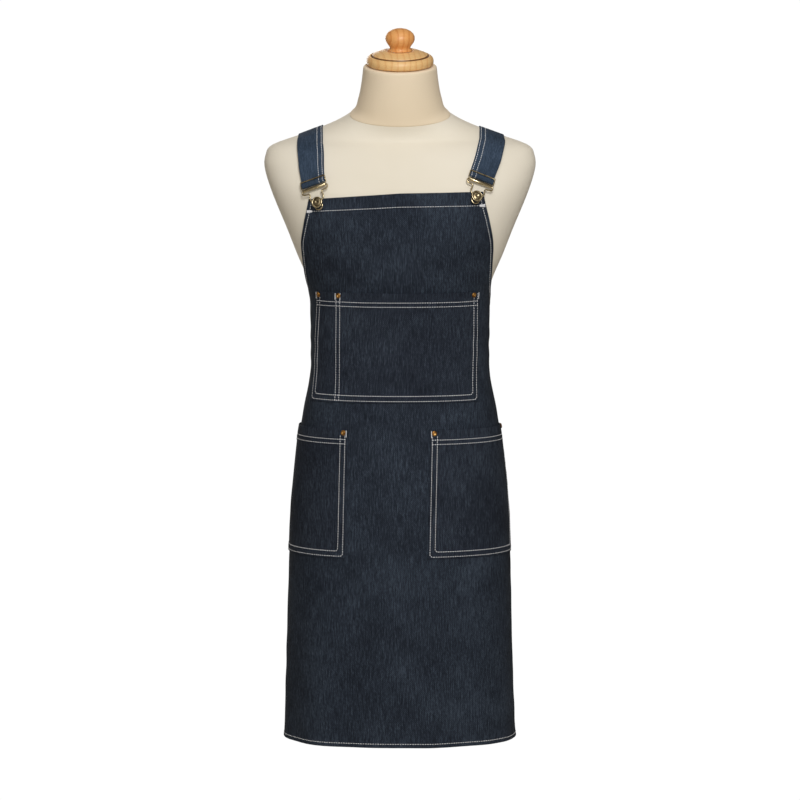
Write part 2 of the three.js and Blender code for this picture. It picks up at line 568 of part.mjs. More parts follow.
// ---------------------------------------------------------------- swivel buttons
for (const [side, frame] of Object.entries(buckleFrames)) {
  const cloth = clothOut(frame)
  const seat = cloth + DENIM / 2 + BUTTON.seat
  add(`button_${side}`, lathe([
    [BUTTON.bore, seat], [BUTTON.shank + 0.6, seat], [BUTTON.shank, seat + 1], [BUTTON.shank, BUTTON.under],
    [BUTTON.cap - 0.6, BUTTON.under], [BUTTON.cap, BUTTON.under + 1], [BUTTON.cap - 0.7, BUTTON.top],
    [BUTTON.cap - 2.2, BUTTON.top - 0.8], [0, BUTTON.top - 0.3], [0, TACK.top + 0.5],
    [BUTTON.bore, TACK.top + 0.5], [BUTTON.bore, seat],
  ], 12), BRASS, 0.45, 1, frame)
  const head = cloth - DENIM / 2 - TACK.behind
  add(`button_tack_${side}`, lathe([
    [0, head - TACK.gauge], [TACK.head, head - TACK.gauge], [TACK.head, head], [TACK.post, head],
    [TACK.post, TACK.top], [0, TACK.top],
  ], 12), STEEL, 0.4, 1, frame)
}

// ---------------------------------------------------------------- waist ties
// Two strips of tape meet in a bow over the open back: a knot, two loops and two hanging tails.
const KNOT = { x: 10, y: 93.5, half: 8.5, deep: 7.5, high: 13.5 }
const LOOP = [
  [1.4, 2.5], [20, 3.5], [48, 4], [72, 5.5], [82, 9], [72, 13.5], [48, 14], [20, 11.5], [3, 6.6],
]
const LOOP_DROOP = 0.2
const TAILS = {
  left: [[-3, 264], [-5, 235], [-9, 190], [-13, 140], [-18, 90], [-22, 45]],
  right: [[23.5, 264], [27, 235], [32, 190], [38, 140], [43, 90], [47, 20]],
}
const knotRing = (z, shrink) => Array.from({ length: 10 }, (_, i) => {
  const angle = (2 * Math.PI * i) / 10
  return new THREE.Vector3(
    KNOT.x + KNOT.half * shrink * Math.cos(angle), KNOT.y + KNOT.deep * shrink * Math.sin(angle), z)
})
const knotRings = [[-1, 0.75], [-0.55, 1], [0.55, 1], [1, 0.75]]
const knotBody = loft(knotRings.map(([level, shrink]) => knotRing(TIE.z + level * KNOT.high, shrink)))
add('bow_knot', knotBody, STRAP_BLUE)

for (const [side, away] of [['left', -1], ['right', 1]]) {
  const knotSide = (x, y, z) => new THREE.Vector3(KNOT.x + away * (KNOT.half + x), KNOT.y + y, z)
  const back = new THREE.Vector3(0, 1, 0)
  const onEdge = [HALF_APRON - 34, HALF_APRON - 12].map((s) =>
    apronPoint(away * s, TIE.z, DENIM / 2 + TIE.thick / 2 + 1))
  add(`waist_tie_${side}`, band([
    ...onEdge, { point: knotSide(9, -4, TIE.z), normal: back },
    { point: knotSide(0.3, -3.4, TIE.z), normal: back },
  ], TIE.half, TIE.thick, 14), STRAP_BLUE)

  const loop = LOOP.map(([x, y], i) => {
    const [beforeX, beforeY] = LOOP[Math.max(i - 1, 0)]
    const [afterX, afterY] = LOOP[Math.min(i + 1, LOOP.length - 1)]
    return {
      point: knotSide(x, y, TIE.z - LOOP_DROOP * x),
      normal: new THREE.Vector3(away * (beforeY - afterY), afterX - beforeX, 0).normalize(),
    }
  })
  add(`bow_loop_${side}`, band(loop, TIE.half, TIE.thick, 24), STRAP_BLUE)

  const tail = TAILS[side].map(([x, z], i) => onForm(x, z, true, i === 0 ? 12 : 4))
  add(`tie_tail_${side}`, band(tail, TIE.half, TIE.thick, 14), STRAP_BLUE)
}

export default apronOnForm
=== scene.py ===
import math

import bpy
import numpy as np
from mathutils import Matrix, Vector


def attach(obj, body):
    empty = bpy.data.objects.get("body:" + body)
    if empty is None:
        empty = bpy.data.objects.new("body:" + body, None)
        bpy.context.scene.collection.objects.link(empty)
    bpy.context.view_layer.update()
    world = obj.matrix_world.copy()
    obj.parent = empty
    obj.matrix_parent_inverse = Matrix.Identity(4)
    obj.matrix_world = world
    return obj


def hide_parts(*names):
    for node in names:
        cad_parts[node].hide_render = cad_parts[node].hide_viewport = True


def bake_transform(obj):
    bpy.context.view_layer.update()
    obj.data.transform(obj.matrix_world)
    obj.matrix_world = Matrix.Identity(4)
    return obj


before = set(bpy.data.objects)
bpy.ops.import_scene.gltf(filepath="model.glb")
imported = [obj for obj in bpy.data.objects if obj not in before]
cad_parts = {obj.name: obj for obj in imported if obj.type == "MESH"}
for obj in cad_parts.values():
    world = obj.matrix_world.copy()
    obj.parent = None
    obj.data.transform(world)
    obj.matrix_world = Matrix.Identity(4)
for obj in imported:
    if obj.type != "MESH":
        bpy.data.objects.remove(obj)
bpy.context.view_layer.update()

bpy.context.scene.view_settings.view_transform = "Standard"

# ------------------------------------------------------------------ camera
# A long lens a little above the neck of the form, six metres off, looking slightly down
# at the middle of the apron, so that both hems show as shallow curves.
lens = bpy.data.cameras.new("studio_lens")
lens.lens, lens.sensor_width = 180, 36
camera = bpy.data.objects.new("studio_camera", lens)
bpy.context.collection.objects.link(camera)
camera.location = (0, -5.970, 0.790)
aim = Vector((0, 0, 0.217)) - camera.location
camera.rotation_euler = aim.to_track_quat("-Z", "Y").to_euler()
bpy.context.scene.camera = camera

# ------------------------------------------------------------------ foam body of the form
# The form is a torso and neck cast in stiff white polyurethane foam with a matt cast skin.
# Its outline is a rounded oval that swells at bust, seat and shoulders and draws in at the waist.

# Height, half width, depth to the front, depth to the back, middle in y, tilt of the level
# (rise per mm to the back) and squareness of the oval, all in mm.
FORM_LEVELS = np.array([
    [15.6, 162, 110, 116, 0, 0, 2.2], [60, 159.5, 112, 119, 0, 0, 2.2],
    [120, 153.5, 104, 112, 0, 0, 2.2], [205, 141, 90, 92, 0, 0, 2.2],
    [260, 131, 82, 80, 0, 0, 2.2], [320, 129.8, 80, 77, 0, 0, 2.2],
    [385, 133.5, 93, 82, 0, 0, 2.2], [440, 155, 110, 90, 0, 0, 2.2],
    [475, 168.7, 112, 95, 0, 0, 2.2], [529, 191, 102, 97, 4, 0, 2.3],
    [565, 202, 84, 93, 8, 0, 2.3], [583, 201, 72, 86, 10, 0, 2.3],
    [599, 190.5, 60, 74, 12, 0.04, 2.2], [615, 141.5, 50, 62, 12, 0.18, 2.1],
    [631, 97, 48, 56, 10, 0.3, 2.05], [648, 70, 50, 55, 6, 0.34, 2],
    [669, 61.5, 53, 53, 1, 0.28, 2], [690, 57.2, 54, 51, -4, 0.22, 2],
    [707, 55, 54, 50, -8, 0.2, 2], [716.7, 54, 53.5, 49.7, -10.3, 0.2, 2],
])
COVER_MM = 1.3
NECK_SEAM_MM = 646
UNDERSIDE_MM = 15.6


def level_at(table, heights):
    """The columns of a table after the first, at any heights, on a smooth curve through its rows."""
    heights = np.clip(heights, table[0, 0], table[-1, 0])
    i = np.clip(np.searchsorted(table[:, 0], heights) - 1, 0, len(table) - 2)
    before, here, there, after = (
        table[np.clip(i + k, 0, len(table) - 1)] for k in (-1, 0, 1, 2)
    )
    span = (there[..., 0] - here[..., 0])[..., None]
    t = (heights - here[..., 0])[..., None] / span
    leave = (there - before) / (there[..., :1] - before[..., :1])
    arrive = (after - here) / (after[..., :1] - here[..., :1])
    smooth = (
        (2 * t**3 - 3 * t**2 + 1) * here + (t**3 - 2 * t**2 + t) * span * leave
        + (3 * t**2 - 2 * t**3) * there + (t**3 - t**2) * span * arrive
    )
    return np.moveaxis(smooth[..., 1:], -1, 0)


def around(table, heights, turns, inset=0.0):
    """Points in mm on an outline; a turn of 0 is the front middle and grows towards +X."""
    half, front, back, middle, tilt, square = level_at(table, heights)
    across = np.sign(np.sin(turns)) * np.abs(np.sin(turns)) ** (2 / square)
    along = np.sign(np.cos(turns)) * np.abs(np.cos(turns)) ** (2 / square)
    y = -(np.where(along > 0, front, back) - inset) * along
    return np.stack([(half - inset) * across, middle + y, heights + tilt * y], -1)


def unit(vectors):
    return vectors / np.maximum(np.linalg.norm(vectors, axis=-1, keepdims=True), 1e-12)


def outward(table, heights, turns):
    """Directions straight out of an outline."""
    level = around(table, heights, turns + 1e-3) - around(table, heights, turns - 1e-3)
    rise = around(table, heights + 0.5, turns) - around(table, heights - 0.5, turns)
    return unit(np.cross(level, rise))


def grid_quads(columns, rows, closed=False, start=0):
    """Quads of a grid of rows of points, facing the side where the columns run to the right."""
    width = columns if closed else columns + 1
    v, u = np.mgrid[0:rows, 0:columns]
    right = (u + 1) % width
    corners = [v * width + u, v * width + right, (v + 1) * width + right, (v + 1) * width + u]
    return np.stack(corners, -1).reshape(-1, 4) + start


def make(name, points, faces, materials, body, slot, uv=None, face_materials=None):
    """A smooth mesh from points in mm, riding on a body of the frame."""
    mesh = bpy.data.meshes.new(name)
    mesh.from_pydata((np.asarray(points).reshape(-1, 3) / 1000).tolist(), [],
                     [[int(i) for i in face] for face in faces])
    for material in materials:
        mesh.materials.append(material)
    mesh.polygons.foreach_set("use_smooth", [True] * len(mesh.polygons))
    if face_materials is not None:
        mesh.polygons.foreach_set("material_index", np.asarray(face_materials, np.int32))
    if uv is not None:
        corner_point = np.zeros(len(mesh.loops), np.int32)
        mesh.loops.foreach_get("vertex_index", corner_point)
        layer = mesh.uv_layers.new(name="cloth")
        layer.data.foreach_set("uv", (np.asarray(uv) / 1000)[corner_point].ravel())
    mesh.update()
    piece = bpy.data.objects.new(name, mesh)
    bpy.context.collection.objects.link(piece)
    if body:
        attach(piece, body)
    return piece


def colour(code):
    """An sRGB hex colour as linear RGBA."""
    parts = [int(code[i:i + 2], 16) / 255 for i in (1, 3, 5)]
    return tuple(c / 12.92 if c <= 0.04045 else ((c + 0.055) / 1.055) ** 2.4 for c in parts) + (1.0,)


def new_material(name):
    material = bpy.data.materials.new(name)
    material.use_nodes = True
    material.node_tree.nodes.clear()
    return material


def add(material, kind, settings=(), links=()):
    """Adds a node: settings go to its sockets or properties, links are {socket: (node, output)}."""
    node = material.node_tree.nodes.new("ShaderNode" + kind)
    for key, value in dict(settings).items():
        if key == "stops":  # the lowest stop, the highest, then any between them
            ramp = node.color_ramp.elements
            for element, (place, code) in zip((ramp[0], ramp[-1]), value):
                element.position, element.color = place, colour(code)
            for place, code in value[2:]:
                ramp.new(place).color = colour(code)
        elif isinstance(key, int) or key in node.inputs:
            node.inputs[key].default_value = value
        else:
            setattr(node, key, value)
    for key, (source, output) in dict(links).items():
        material.node_tree.links.new(source.outputs[output], node.inputs[key])
    return node


def cast_foam():
    """Polyurethane foam with a cast skin: off-white and dead matt, with pores 2 to 4 mm apart."""
    material = new_material("cast_polyurethane_foam")
    place = add(material, "TexCoord")
    pores = add(material, "TexVoronoi", {"Scale": 320}, {"Vector": (place, "Object")})
    stain = add(material, "TexNoise", {"Scale": 9, "Detail": 4}, {"Vector": (place, "Object")})
    tone = add(material, "ValToRGB", {"stops": [(0.3, "#E4DFD0"), (0.7, "#F3F0E6")]},
               {"Fac": (stain, "Fac")})
    dent = add(material, "Bump", {"Strength": 0.35, "Distance": 0.0006},
               {"Height": (pores, "Distance")})
    shader = add(material, "BsdfPrincipled", {"Roughness": 0.92, "Specular IOR Level": 0.25},
                 {"Base Color": (tone, "Color"), "Normal": (dent, "Normal")})
    add(material, "OutputMaterial", {}, {"Surface": (shader, "BSDF")})
    return material


SIDES = 120
turns_round = np.linspace(0, 2 * np.pi, SIDES, endpoint=False)
foam_heights = np.concatenate([np.arange(UNDERSIDE_MM, 600, 8), np.arange(600, 716, 5), [716]])
foam_rings = around(FORM_LEVELS, foam_heights[:, None], turns_round[None], COVER_MM + 0.5)
foam_faces = grid_quads(SIDES, len(foam_heights) - 1, closed=True).tolist()
foam_faces += [list(range(SIDES))[::-1],
               list(range(foam_rings.size // 3 - SIDES, foam_rings.size // 3))]
foam_body = make("foam_body", foam_rings, foam_faces, [cast_foam()], "root", "foam")
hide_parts("form_core")

# ------------------------------------------------------------------ base board
# A 12 mm plywood board closes the underside of the torso. It is sawn to the outline,
# sanded and left bare, so that its plies show as stripes round the edge.


def bare_plywood():
    """Birch plywood: a pale face with fine grain along X, and brown glue lines on the edge."""
    material = new_material("bare_birch_plywood")
    place = add(material, "TexCoord")
    stretch = add(material, "Mapping", {"Scale": (9, 160, 30)}, {"Vector": (place, "Object")})
    grain = add(material, "TexNoise", {"Scale": 1.2, "Detail": 6}, {"Vector": (stretch, "Vector")})
    tone = add(material, "ValToRGB", {"stops": [(0.3, "#B98F5F"), (0.65, "#D9B88A")]},
               {"Fac": (grain, "Fac")})
    split = add(material, "SeparateXYZ", {}, {"Vector": (place, "Object")})
    # Five plies of 2.4 mm, so a glue line every 2.4 mm of height.
    plies = add(material, "Math", {"operation": "MULTIPLY", 1: 1 / 0.0024}, {0: (split, "Z")})
    inside = add(material, "Math", {"operation": "FRACT"}, {0: (plies, "Value")})
    glue = add(material, "Math", {"operation": "LESS_THAN", 1: 0.14}, {0: (inside, "Value")})
    mixed = add(material, "Mix", {"data_type": "RGBA", 7: colour("#7A5836")},
                {0: (glue, "Value"), 6: (tone, "Color")})
    relief = add(material, "Bump", {"Strength": 0.25, "Distance": 0.0003}, {"Height": (grain, "Fac")})
    shader = add(material, "BsdfPrincipled", {"Roughness": 0.68},
                 {"Base Color": (mixed, 2), "Normal": (relief, "Normal")})
    add(material, "OutputMaterial", {}, {"Surface": (shader, "BSDF")})
    return material


def finish_node(name, material):
    """Gives a piece of the frame its finish."""
    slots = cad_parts[name].data.materials
    if len(slots):
        slots[0] = material
    else:
        slots.append(material)


finish_node("base_board", bare_plywood())

# ------------------------------------------------------------------ stand flange and screws
# A turned and zinc-plated steel flange takes the 25 mm pole of the stand. Four countersunk
# wood screws hold its plate against the board from below.
FLANGE_MM = [(12.7, 0), (13.3, -0.35), (45.4, -0.35), (46, 0.3), (46, 2.7), (45.5, 3.1), (15.6, 3.1),
             (15, 4), (15, 71.5), (14.5, 72), (13.1, 72), (12.7, 71.5)]
SCREW_HEAD_MM = [(0, -1.0), (1.7, -0.8), (1.7, -1.0), (3.4, -0.75), (4, -0.35), (4, 0.2), (2, 2.4),
                 (2, 13), (0, 14)]
SCREW_CIRCLE_MM = 33


def lathe(outline, sides, matrix=Matrix.Identity(4)):
    """Points and faces turned round the z axis of a matrix whose lengths are mm."""
    ring = np.linspace(0, 2 * np.pi, sides, endpoint=False)
    r, h = np.array(outline, float).T
    points = np.stack([r[:, None] * np.cos(ring), r[:, None] * np.sin(ring),
                       np.repeat(h[:, None], sides, 1)], -1).reshape(-1, 3)
    faces = grid_quads(sides, len(outline) - 1, closed=True).tolist()
    if r[0] > 0 and outline[0] != outline[-1]:  # an outline that closes on itself
        last = (len(outline) - 1) * sides
        faces += [[last + j, last + (j + 1) % sides, (j + 1) % sides, j] for j in range(sides)]
    # Points that share the axis are one point.
    mapping = np.arange(len(points))
    for row in range(len(r)):
        if r[row] == 0:
            mapping[row * sides:(row + 1) * sides] = row * sides
    tidy = []
    for face in faces:
        kept = []
        for index in face:
            if mapping[index] not in kept:
                kept.append(int(mapping[index]))
        if len(kept) > 2:
            tidy.append(kept)
    used = sorted({i for face in tidy for i in face})
    renumber = {old: new for new, old in enumerate(used)}
    turn = np.array(matrix.to_3x3())
    points = points[used] @ turn.T + np.array(matrix.translation)
    return points, [[renumber[i] for i in face] for face in tidy]


def zinc_plated_steel():
    """Zinc-plated steel: cool grey, half bright, with faint turning lines and dull patches."""
    material = new_material("zinc_plated_steel")
    place = add(material, "TexCoord")
    patches = add(material, "TexNoise", {"Scale": 60, "Detail": 5}, {"Vector": (place, "Object")})
    tone = add(material, "ValToRGB", {"stops": [(0.35, "#8D9093"), (0.7, "#B4B7BA")]},
               {"Fac": (patches, "Fac")})
    polish = add(material, "MapRange", {"To Min": 0.3, "To Max": 0.5}, {"Value": (patches, "Fac")})
    shader = add(material, "BsdfPrincipled", {"Metallic": 1.0},
                 {"Base Color": (tone, "Color"), "Roughness": (polish, "Result")})
    add(material, "OutputMaterial", {}, {"Surface": (shader, "BSDF")})
    return material


steel = zinc_plated_steel()
flange = make("pole_flange", *lathe(FLANGE_MM, 64), [steel], "root", "steel")
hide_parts("stand_flange")
for number in range(4):
    angle = math.pi / 4 + number * math.pi / 2
    on_circle = Vector((math.cos(angle), math.sin(angle), 0))
    screw = make(f"plate_screw_{number + 1}",
                 *lathe(SCREW_HEAD_MM, 24, Matrix.Translation(on_circle * SCREW_CIRCLE_MM)),
                 [steel], "root", "steel")
    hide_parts(f"flange_screw_{number + 1}")

# ------------------------------------------------------------------ torso cover
# Cream cotton jersey is sewn as a tube and drawn tight over the foam. Its hem is gathered
# under the board, and one flat seam closes it down the middle of the back.


WAVE = 314  # the scale of a wave node is this over the spacing of its bands in mm


def cotton_jersey(name, pale, shaded):
    """Fine cotton jersey: soft and matt, with wales 1.2 mm apart that only show close up."""
    material = new_material(name)
    place = add(material, "TexCoord")
    # The real wales are 0.6 mm apart; they are drawn at 1.2 mm so that they hold in a picture.
    wales = add(material, "TexWave", {"Scale": WAVE / 1.2, "Distortion": 0.6, "Detail": 2,
                                      "Detail Scale": 3, "bands_direction": "X"},
                {"Vector": (place, "UV")})
    cloud = add(material, "TexNoise", {"Scale": 5, "Detail": 3}, {"Vector": (place, "Object")})
    fuzz = add(material, "TexNoise", {"Scale": 900, "Detail": 3}, {"Vector": (place, "Object")})
    tone = add(material, "ValToRGB", {"stops": [(0.3, shaded), (0.7, pale)]}, {"Fac": (cloud, "Fac")})
    height = add(material, "Math", {"operation": "MULTIPLY_ADD", 1: 0.5},
                 {0: (fuzz, "Fac"), 2: (wales, "Fac")})
    relief = add(material, "Bump", {"Strength": 0.2, "Distance": 0.00015}, {"Height": (height, "Value")})
    shader = add(material, "BsdfPrincipled", {"Roughness": 0.88, "Specular IOR Level": 0.2,
                                              "Sheen Weight": 0.12, "Sheen Roughness": 0.5},
                 {"Base Color": (tone, "Color"), "Normal": (relief, "Normal")})
    add(material, "OutputMaterial", {}, {"Surface": (shader, "BSDF")})
    return material


def shell(outer, inner, closed=False):
    """Points, faces and sides (0 out, 1 in) of a thin closed skin between two grids of points."""
    rows, columns = outer.shape[0] - 1, outer.shape[1] - (0 if closed else 1)
    width = outer.shape[1]
    layer = outer.shape[0] * width
    face_out = grid_quads(columns, rows, closed)
    face_in = face_out[:, [0, 3, 2, 1]] + layer
    rims = []
    u = np.arange(columns)
    right = (u + 1) % width
    rims.append(np.stack([right, u, u + layer, right + layer], -1))
    top = rows * width
    rims.append(np.stack([top + u, top + right, top + right + layer, top + u + layer], -1))
    if not closed:
        v = np.arange(rows)
        a, d = v * width, (v + 1) * width
        rims.append(np.stack([a, d, d + layer, a + layer], -1))
        b, c = a + columns, d + columns
        rims.append(np.stack([c, b, b + layer, c + layer], -1))
    rim = np.concatenate(rims)
    faces = np.concatenate([face_out, face_in, rim])
    sides = np.concatenate([np.zeros(len(face_out)), np.ones(len(face_in)), np.zeros(len(rim))])
    return np.concatenate([outer.reshape(-1, 3), inner.reshape(-1, 3)]), faces.tolist(), sides


jersey_cream = cotton_jersey("cream_cotton_jersey", "#F0E9DA", "#E9E1CF")
# Rows from under the board, round its edge and up: height, inset from the outline, share of pucker.
HEM_ROLL_MM = [(2.6, 22, 1), (2.5, 16, 1), (2.5, 10, 0.8), (2.6, 5, 0.5), (3.4, 1.8, 0.25),
               (5, 0.6, 0.1), (9, 0.2, 0)]
torso_heights = np.concatenate([np.arange(UNDERSIDE_MM, 590, 6),
                                np.arange(590, NECK_SEAM_MM + 3, 3.2)])


def torso_skin(depth):
    rows = []
    for height, inset, pucker in HEM_ROLL_MM:
        ring = around(FORM_LEVELS, np.full(SIDES, UNDERSIDE_MM), turns_round, inset + depth)
        ring[:, 2] = height + pucker * 0.45 * np.sin(turns_round * 46) + depth * min(inset / 4, 1)
        rows.append(ring)
    up = around(FORM_LEVELS, torso_heights[:, None], turns_round[None], depth)
    # The back seam is a flat ridge 5 mm wide.
    sunk = np.exp(-((turns_round - np.pi) / 0.03) ** 2) * 0.5
    up += outward(FORM_LEVELS, torso_heights[:, None], turns_round[None]) * sunk[None, :, None]
    return np.concatenate([np.stack(rows), up])


torso_outer, torso_inner = torso_skin(0.0), torso_skin(0.9)
rise = np.concatenate([np.linspace(-40, 8, len(HEM_ROLL_MM)), torso_heights])
torso_uv = np.stack(np.broadcast_arrays((turns_round * 150)[None], rise[:, None]), -1).reshape(-1, 2)
torso_points, torso_faces, _ = shell(torso_outer, torso_inner, closed=True)
torso_jersey = make("torso_jersey", torso_points, torso_faces, [jersey_cream], "root", "jersey",
                    uv=np.concatenate([torso_uv, torso_uv]))
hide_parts("torso_cover")

# ------------------------------------------------------------------ neck cover
# A second, slightly darker piece of the same jersey covers the neck. Its lower edge is turned
# under and felled over the torso cover, and its top is tucked in below the wooden cap.
NECK_TOP = Vector((0, -10.3, 716.7))
NECK_TILT = math.radians(11.3)
jersey_neck = cotton_jersey("tan_cotton_jersey", "#F2E1C6", "#EAD7B9")
neck_heights = np.concatenate([NECK_SEAM_MM + np.array([-2.4, -1.8, -0.8, 0.6, 2.5, 5]),
                               np.arange(655, 714, 4), [714.3]])
neck_lifts = np.concatenate([[0.2, 0.6, 0.8, 0.8, 0.65, 0.5], np.full(len(neck_heights) - 6, 0.45)])
# How the top is tucked in: height below the neck's top and distance in from its outline.
TUCK_MM = [(-1.2, 0.5), (-0.3, 1.6), (0.1, 3.4), (0.1, 6.5), (-0.1, 11), (-0.3, 16)]


def neck_skin(depth):
    up = around(FORM_LEVELS, neck_heights[:, None], turns_round[None], 0.0)
    out = outward(FORM_LEVELS, neck_heights[:, None], turns_round[None])
    lifted = np.maximum(neck_lifts - depth, -0.5) if depth else neck_lifts
    rows = [up + out * lifted[:, None, None]]
    for height, inset in TUCK_MM:
        ring = around(FORM_LEVELS, np.full(SIDES, NECK_TOP.z), turns_round, inset + depth * 0.6 - 0.45)
        ring[:, 2] += height - depth * 0.7
        rows.append(ring[None])
    return np.concatenate(rows)


neck_outer, neck_inner = neck_skin(0.0), neck_skin(0.9)
rise = np.concatenate([neck_heights, NECK_TOP.z + 1 + np.arange(len(TUCK_MM)) * 3])
neck_uv = np.stack(np.broadcast_arrays((turns_round * 60)[None], rise[:, None]), -1).reshape(-1, 2)
neck_points, neck_faces, _ = shell(neck_outer, neck_inner, closed=True)
neck_jersey_piece = make("neck_jersey_tube", neck_points, neck_faces, [jersey_neck], "root", "neck_jersey",
                         uv=np.concatenate([neck_uv, neck_uv]))
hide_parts("neck_cover")

# ------------------------------------------------------------------ neck cap, knob and bolt
# The cap is turned from pine: a bullnose rim, a fine groove and a low dome, then a waisted knob.
# It is sanded and clear lacquered. A bolt through both is screwed into a pine plug in the foam.
neck_frame = Matrix.Translation(NECK_TOP) @ Matrix.Rotation(NECK_TILT, 4, "X")
CAP_MM = [(4.1, 0.9), (46.2, 0.9), (48, 1.6), (49.3, 3.2), (49.9, 5.6), (50.0, 8), (49.5, 10.4),
          (48.3, 12.6), (46.6, 14.2), (44.9, 15.1), (43.9, 15.3), (43.2, 14.8), (42.9, 12.9),
          (41.3, 12.9), (41.0, 16.6), (40.2, 17.5), (38.8, 18.1), (36, 19.1), (31, 20.9), (28, 22.0),
          (27.2, 21.9), (26.6, 22.5), (22.4, 22.8), (4.1, 22.8)]
GROOVE_SPANS = (11, 12, 13)  # the spans of that outline inside the groove
KNOB_MM = [(4.1, 23.1), (17.8, 23.1), (18.4, 23.7), (17.8, 24.6), (15.9, 26.0), (15.4, 27.8),
           (16.4, 30), (18.7, 33), (20.8, 36.4), (22, 40), (21.7, 44), (19.7, 48.2), (16.2, 51.6),
           (11.4, 54.2), (5.8, 55.7), (0, 56.1)]


def lacquered_pine(name, early, late, ring_mm):
    """Lacquered pine: warm blond early wood between narrow amber late wood, under a soft gloss."""
    material = new_material(name)
    place = add(material, "TexCoord")
    # Growth rings of a board that lies level, with the heart below and behind the turning.
    lay = add(material, "Mapping", {"Location": (0.02, 0.11, -0.62), "Rotation": (0.1, 1.5, 0.16)},
              {"Vector": (place, "Object")})
    rings = add(material, "TexWave", {"wave_type": "RINGS", "rings_direction": "X",
                                      "wave_profile": "SAW", "Scale": WAVE / ring_mm,
                                      "Distortion": 2.2, "Detail": 3, "Detail Scale": 1.5,
                                      "Detail Roughness": 0.55}, {"Vector": (lay, "Vector")})
    fibre_way = add(material, "Mapping", {"Scale": (60, 1100, 1100)}, {"Vector": (place, "Object")})
    fibres = add(material, "TexNoise", {"Scale": 1, "Detail": 3}, {"Vector": (fibre_way, "Vector")})
    figure = add(material, "ValToRGB", {"stops": [(0.0, early), (1.0, late), (0.62, early)]},
                 {"Fac": (rings, "Fac")})
    fine = add(material, "ValToRGB", {"stops": [(0.3, "#F1E7DA"), (0.65, "#FFFFFF")]},
               {"Fac": (fibres, "Fac")})
    wood = add(material, "Mix", {"data_type": "RGBA", "blend_type": "MULTIPLY", 0: 0.7},
               {6: (figure, "Color"), 7: (fine, "Color")})
    relief = add(material, "Bump", {"Strength": 0.12, "Distance": 0.0002}, {"Height": (fibres, "Fac")})
    shader = add(material, "BsdfPrincipled", {"Roughness": 0.45, "Coat Weight": 0.2,
                                              "Coat Roughness": 0.3},
                 {"Base Color": (wood, 2), "Normal": (relief, "Normal")})
    add(material, "OutputMaterial", {}, {"Surface": (shader, "BSDF")})
    return material


pine = lacquered_pine("lacquered_pine", "#F2C88A", "#E8B273", 9)
# A darker, more orange copy of the pine, used for the knob.
pine_dark = lacquered_pine("lacquered_pine_darker_orange", "#F0AE68", "#DA8C45", 9)
# Painted shade in the groove, darkened together with the stain and old lacquer that gather there.
pine_groove_shade_and_stain = lacquered_pine("lacquered_pine_groove_shade_and_stain", "#7E5227", "#6A431F", 9)
CAP_SIDES = 96
cap_points, cap_faces = lathe(CAP_MM, CAP_SIDES, neck_frame)
# The groove's faces take the dark material, which is painted shade as well as stain.
in_groove = [int(i // CAP_SIDES in GROOVE_SPANS) for i in range(len(cap_faces))]
cap = make("pine_cap", cap_points, cap_faces, [pine, pine_groove_shade_and_stain], "neck_cap", "pine",
           face_materials=in_groove)
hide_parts("neck_cap")
knob = make("pine_knob", *lathe(KNOB_MM, 64, neck_frame), [pine_dark], "neck_cap", "pine_knob")
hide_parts("neck_knob")
finish_node("neck_plug", pine)
finish_node("cap_bolt", steel)

# ------------------------------------------------------------------ apron body
# The body is one piece of 12 oz indigo twill denim, 620 mm wide and 822 mm from hem to bib, cut
# away at the armholes. Every edge is turned in twice and topstitched with white thread.

# How the cloth hangs round the form, in the same columns as the form's own levels.
CLOTH_LEVELS = np.array([
    [-291, 174.8, 115, 131, 0, 0, 2.2], [-177, 171.3, 116, 128, 0, 0, 2.2],
    [-85, 168.8, 117, 126, 0, 0, 2.2], [5, 165.6, 118, 124, 0, 0, 2.2],
    [60, 162.5, 117, 122.5, 0, 0, 2.2], [96, 159.3, 115, 118, 0, 0, 2.2],
    [150, 153, 110, 108, 0, 0, 2.2], [205, 144, 103, 97, 0, 0, 2.2],
    [260, 134, 95, 86, 0, 0, 2.2], [313, 133.3, 91, 81.5, 0, 0, 2.2],
    [350, 133.8, 96, 82.6, 0, 0, 2.2], [367, 134, 98, 83.5, 0, 0, 2.2],
    [385, 136.8, 101, 86, 0, 0, 2.2], [403, 144, 106, 88, 0, 0, 2.2],
    [440, 158, 113, 93, 0, 0, 2.2], [475, 171.7, 115, 98, 0, 0, 2.2],
    [529, 194, 105, 100, 4, 0, 2.3], [565, 205, 87, 96, 8, 0, 2.3],
])
HEM_MM, CORNER_MM, BIB_TOP_MM, HALF_APRON_MM = -291, 315, 531, 310
ARMHOLE_MM = np.array([
    [315, 310], [322, 292], [335, 255], [352, 222], [370, 195], [385, 176], [403, 166],
    [425, 161], [457, 156], [485, 146], [510, 137], [531, 131],
], float)
BIB_HEM_MM, EDGE_HEM_MM = 20, 8
HEM_STITCH_MM, EDGE_STITCH_MM, BIB_STITCH_MM = 6, 6, 20

# The turn round the form for any distance s along the cloth, by height.
cloth_heights = np.arange(-300, 582, 3.0)
cloth_turns = np.linspace(0, np.pi, 481)
cloth_s = np.arange(0, 372, 1.5)
walked = around(CLOTH_LEVELS, cloth_heights[:, None], cloth_turns[None])
walked = np.concatenate([np.zeros((len(walked), 1)),
                         np.linalg.norm(np.diff(walked, axis=1), axis=-1).cumsum(1)], 1)
turn_table = np.stack([np.interp(cloth_s, row, cloth_turns) for row in walked])


def clip01(value):
    return np.clip(value, 0.0, 1.0)


def smooth(value, start, end):
    t = clip01((value - start) / (end - start))
    return t * t * (3 - 2 * t)


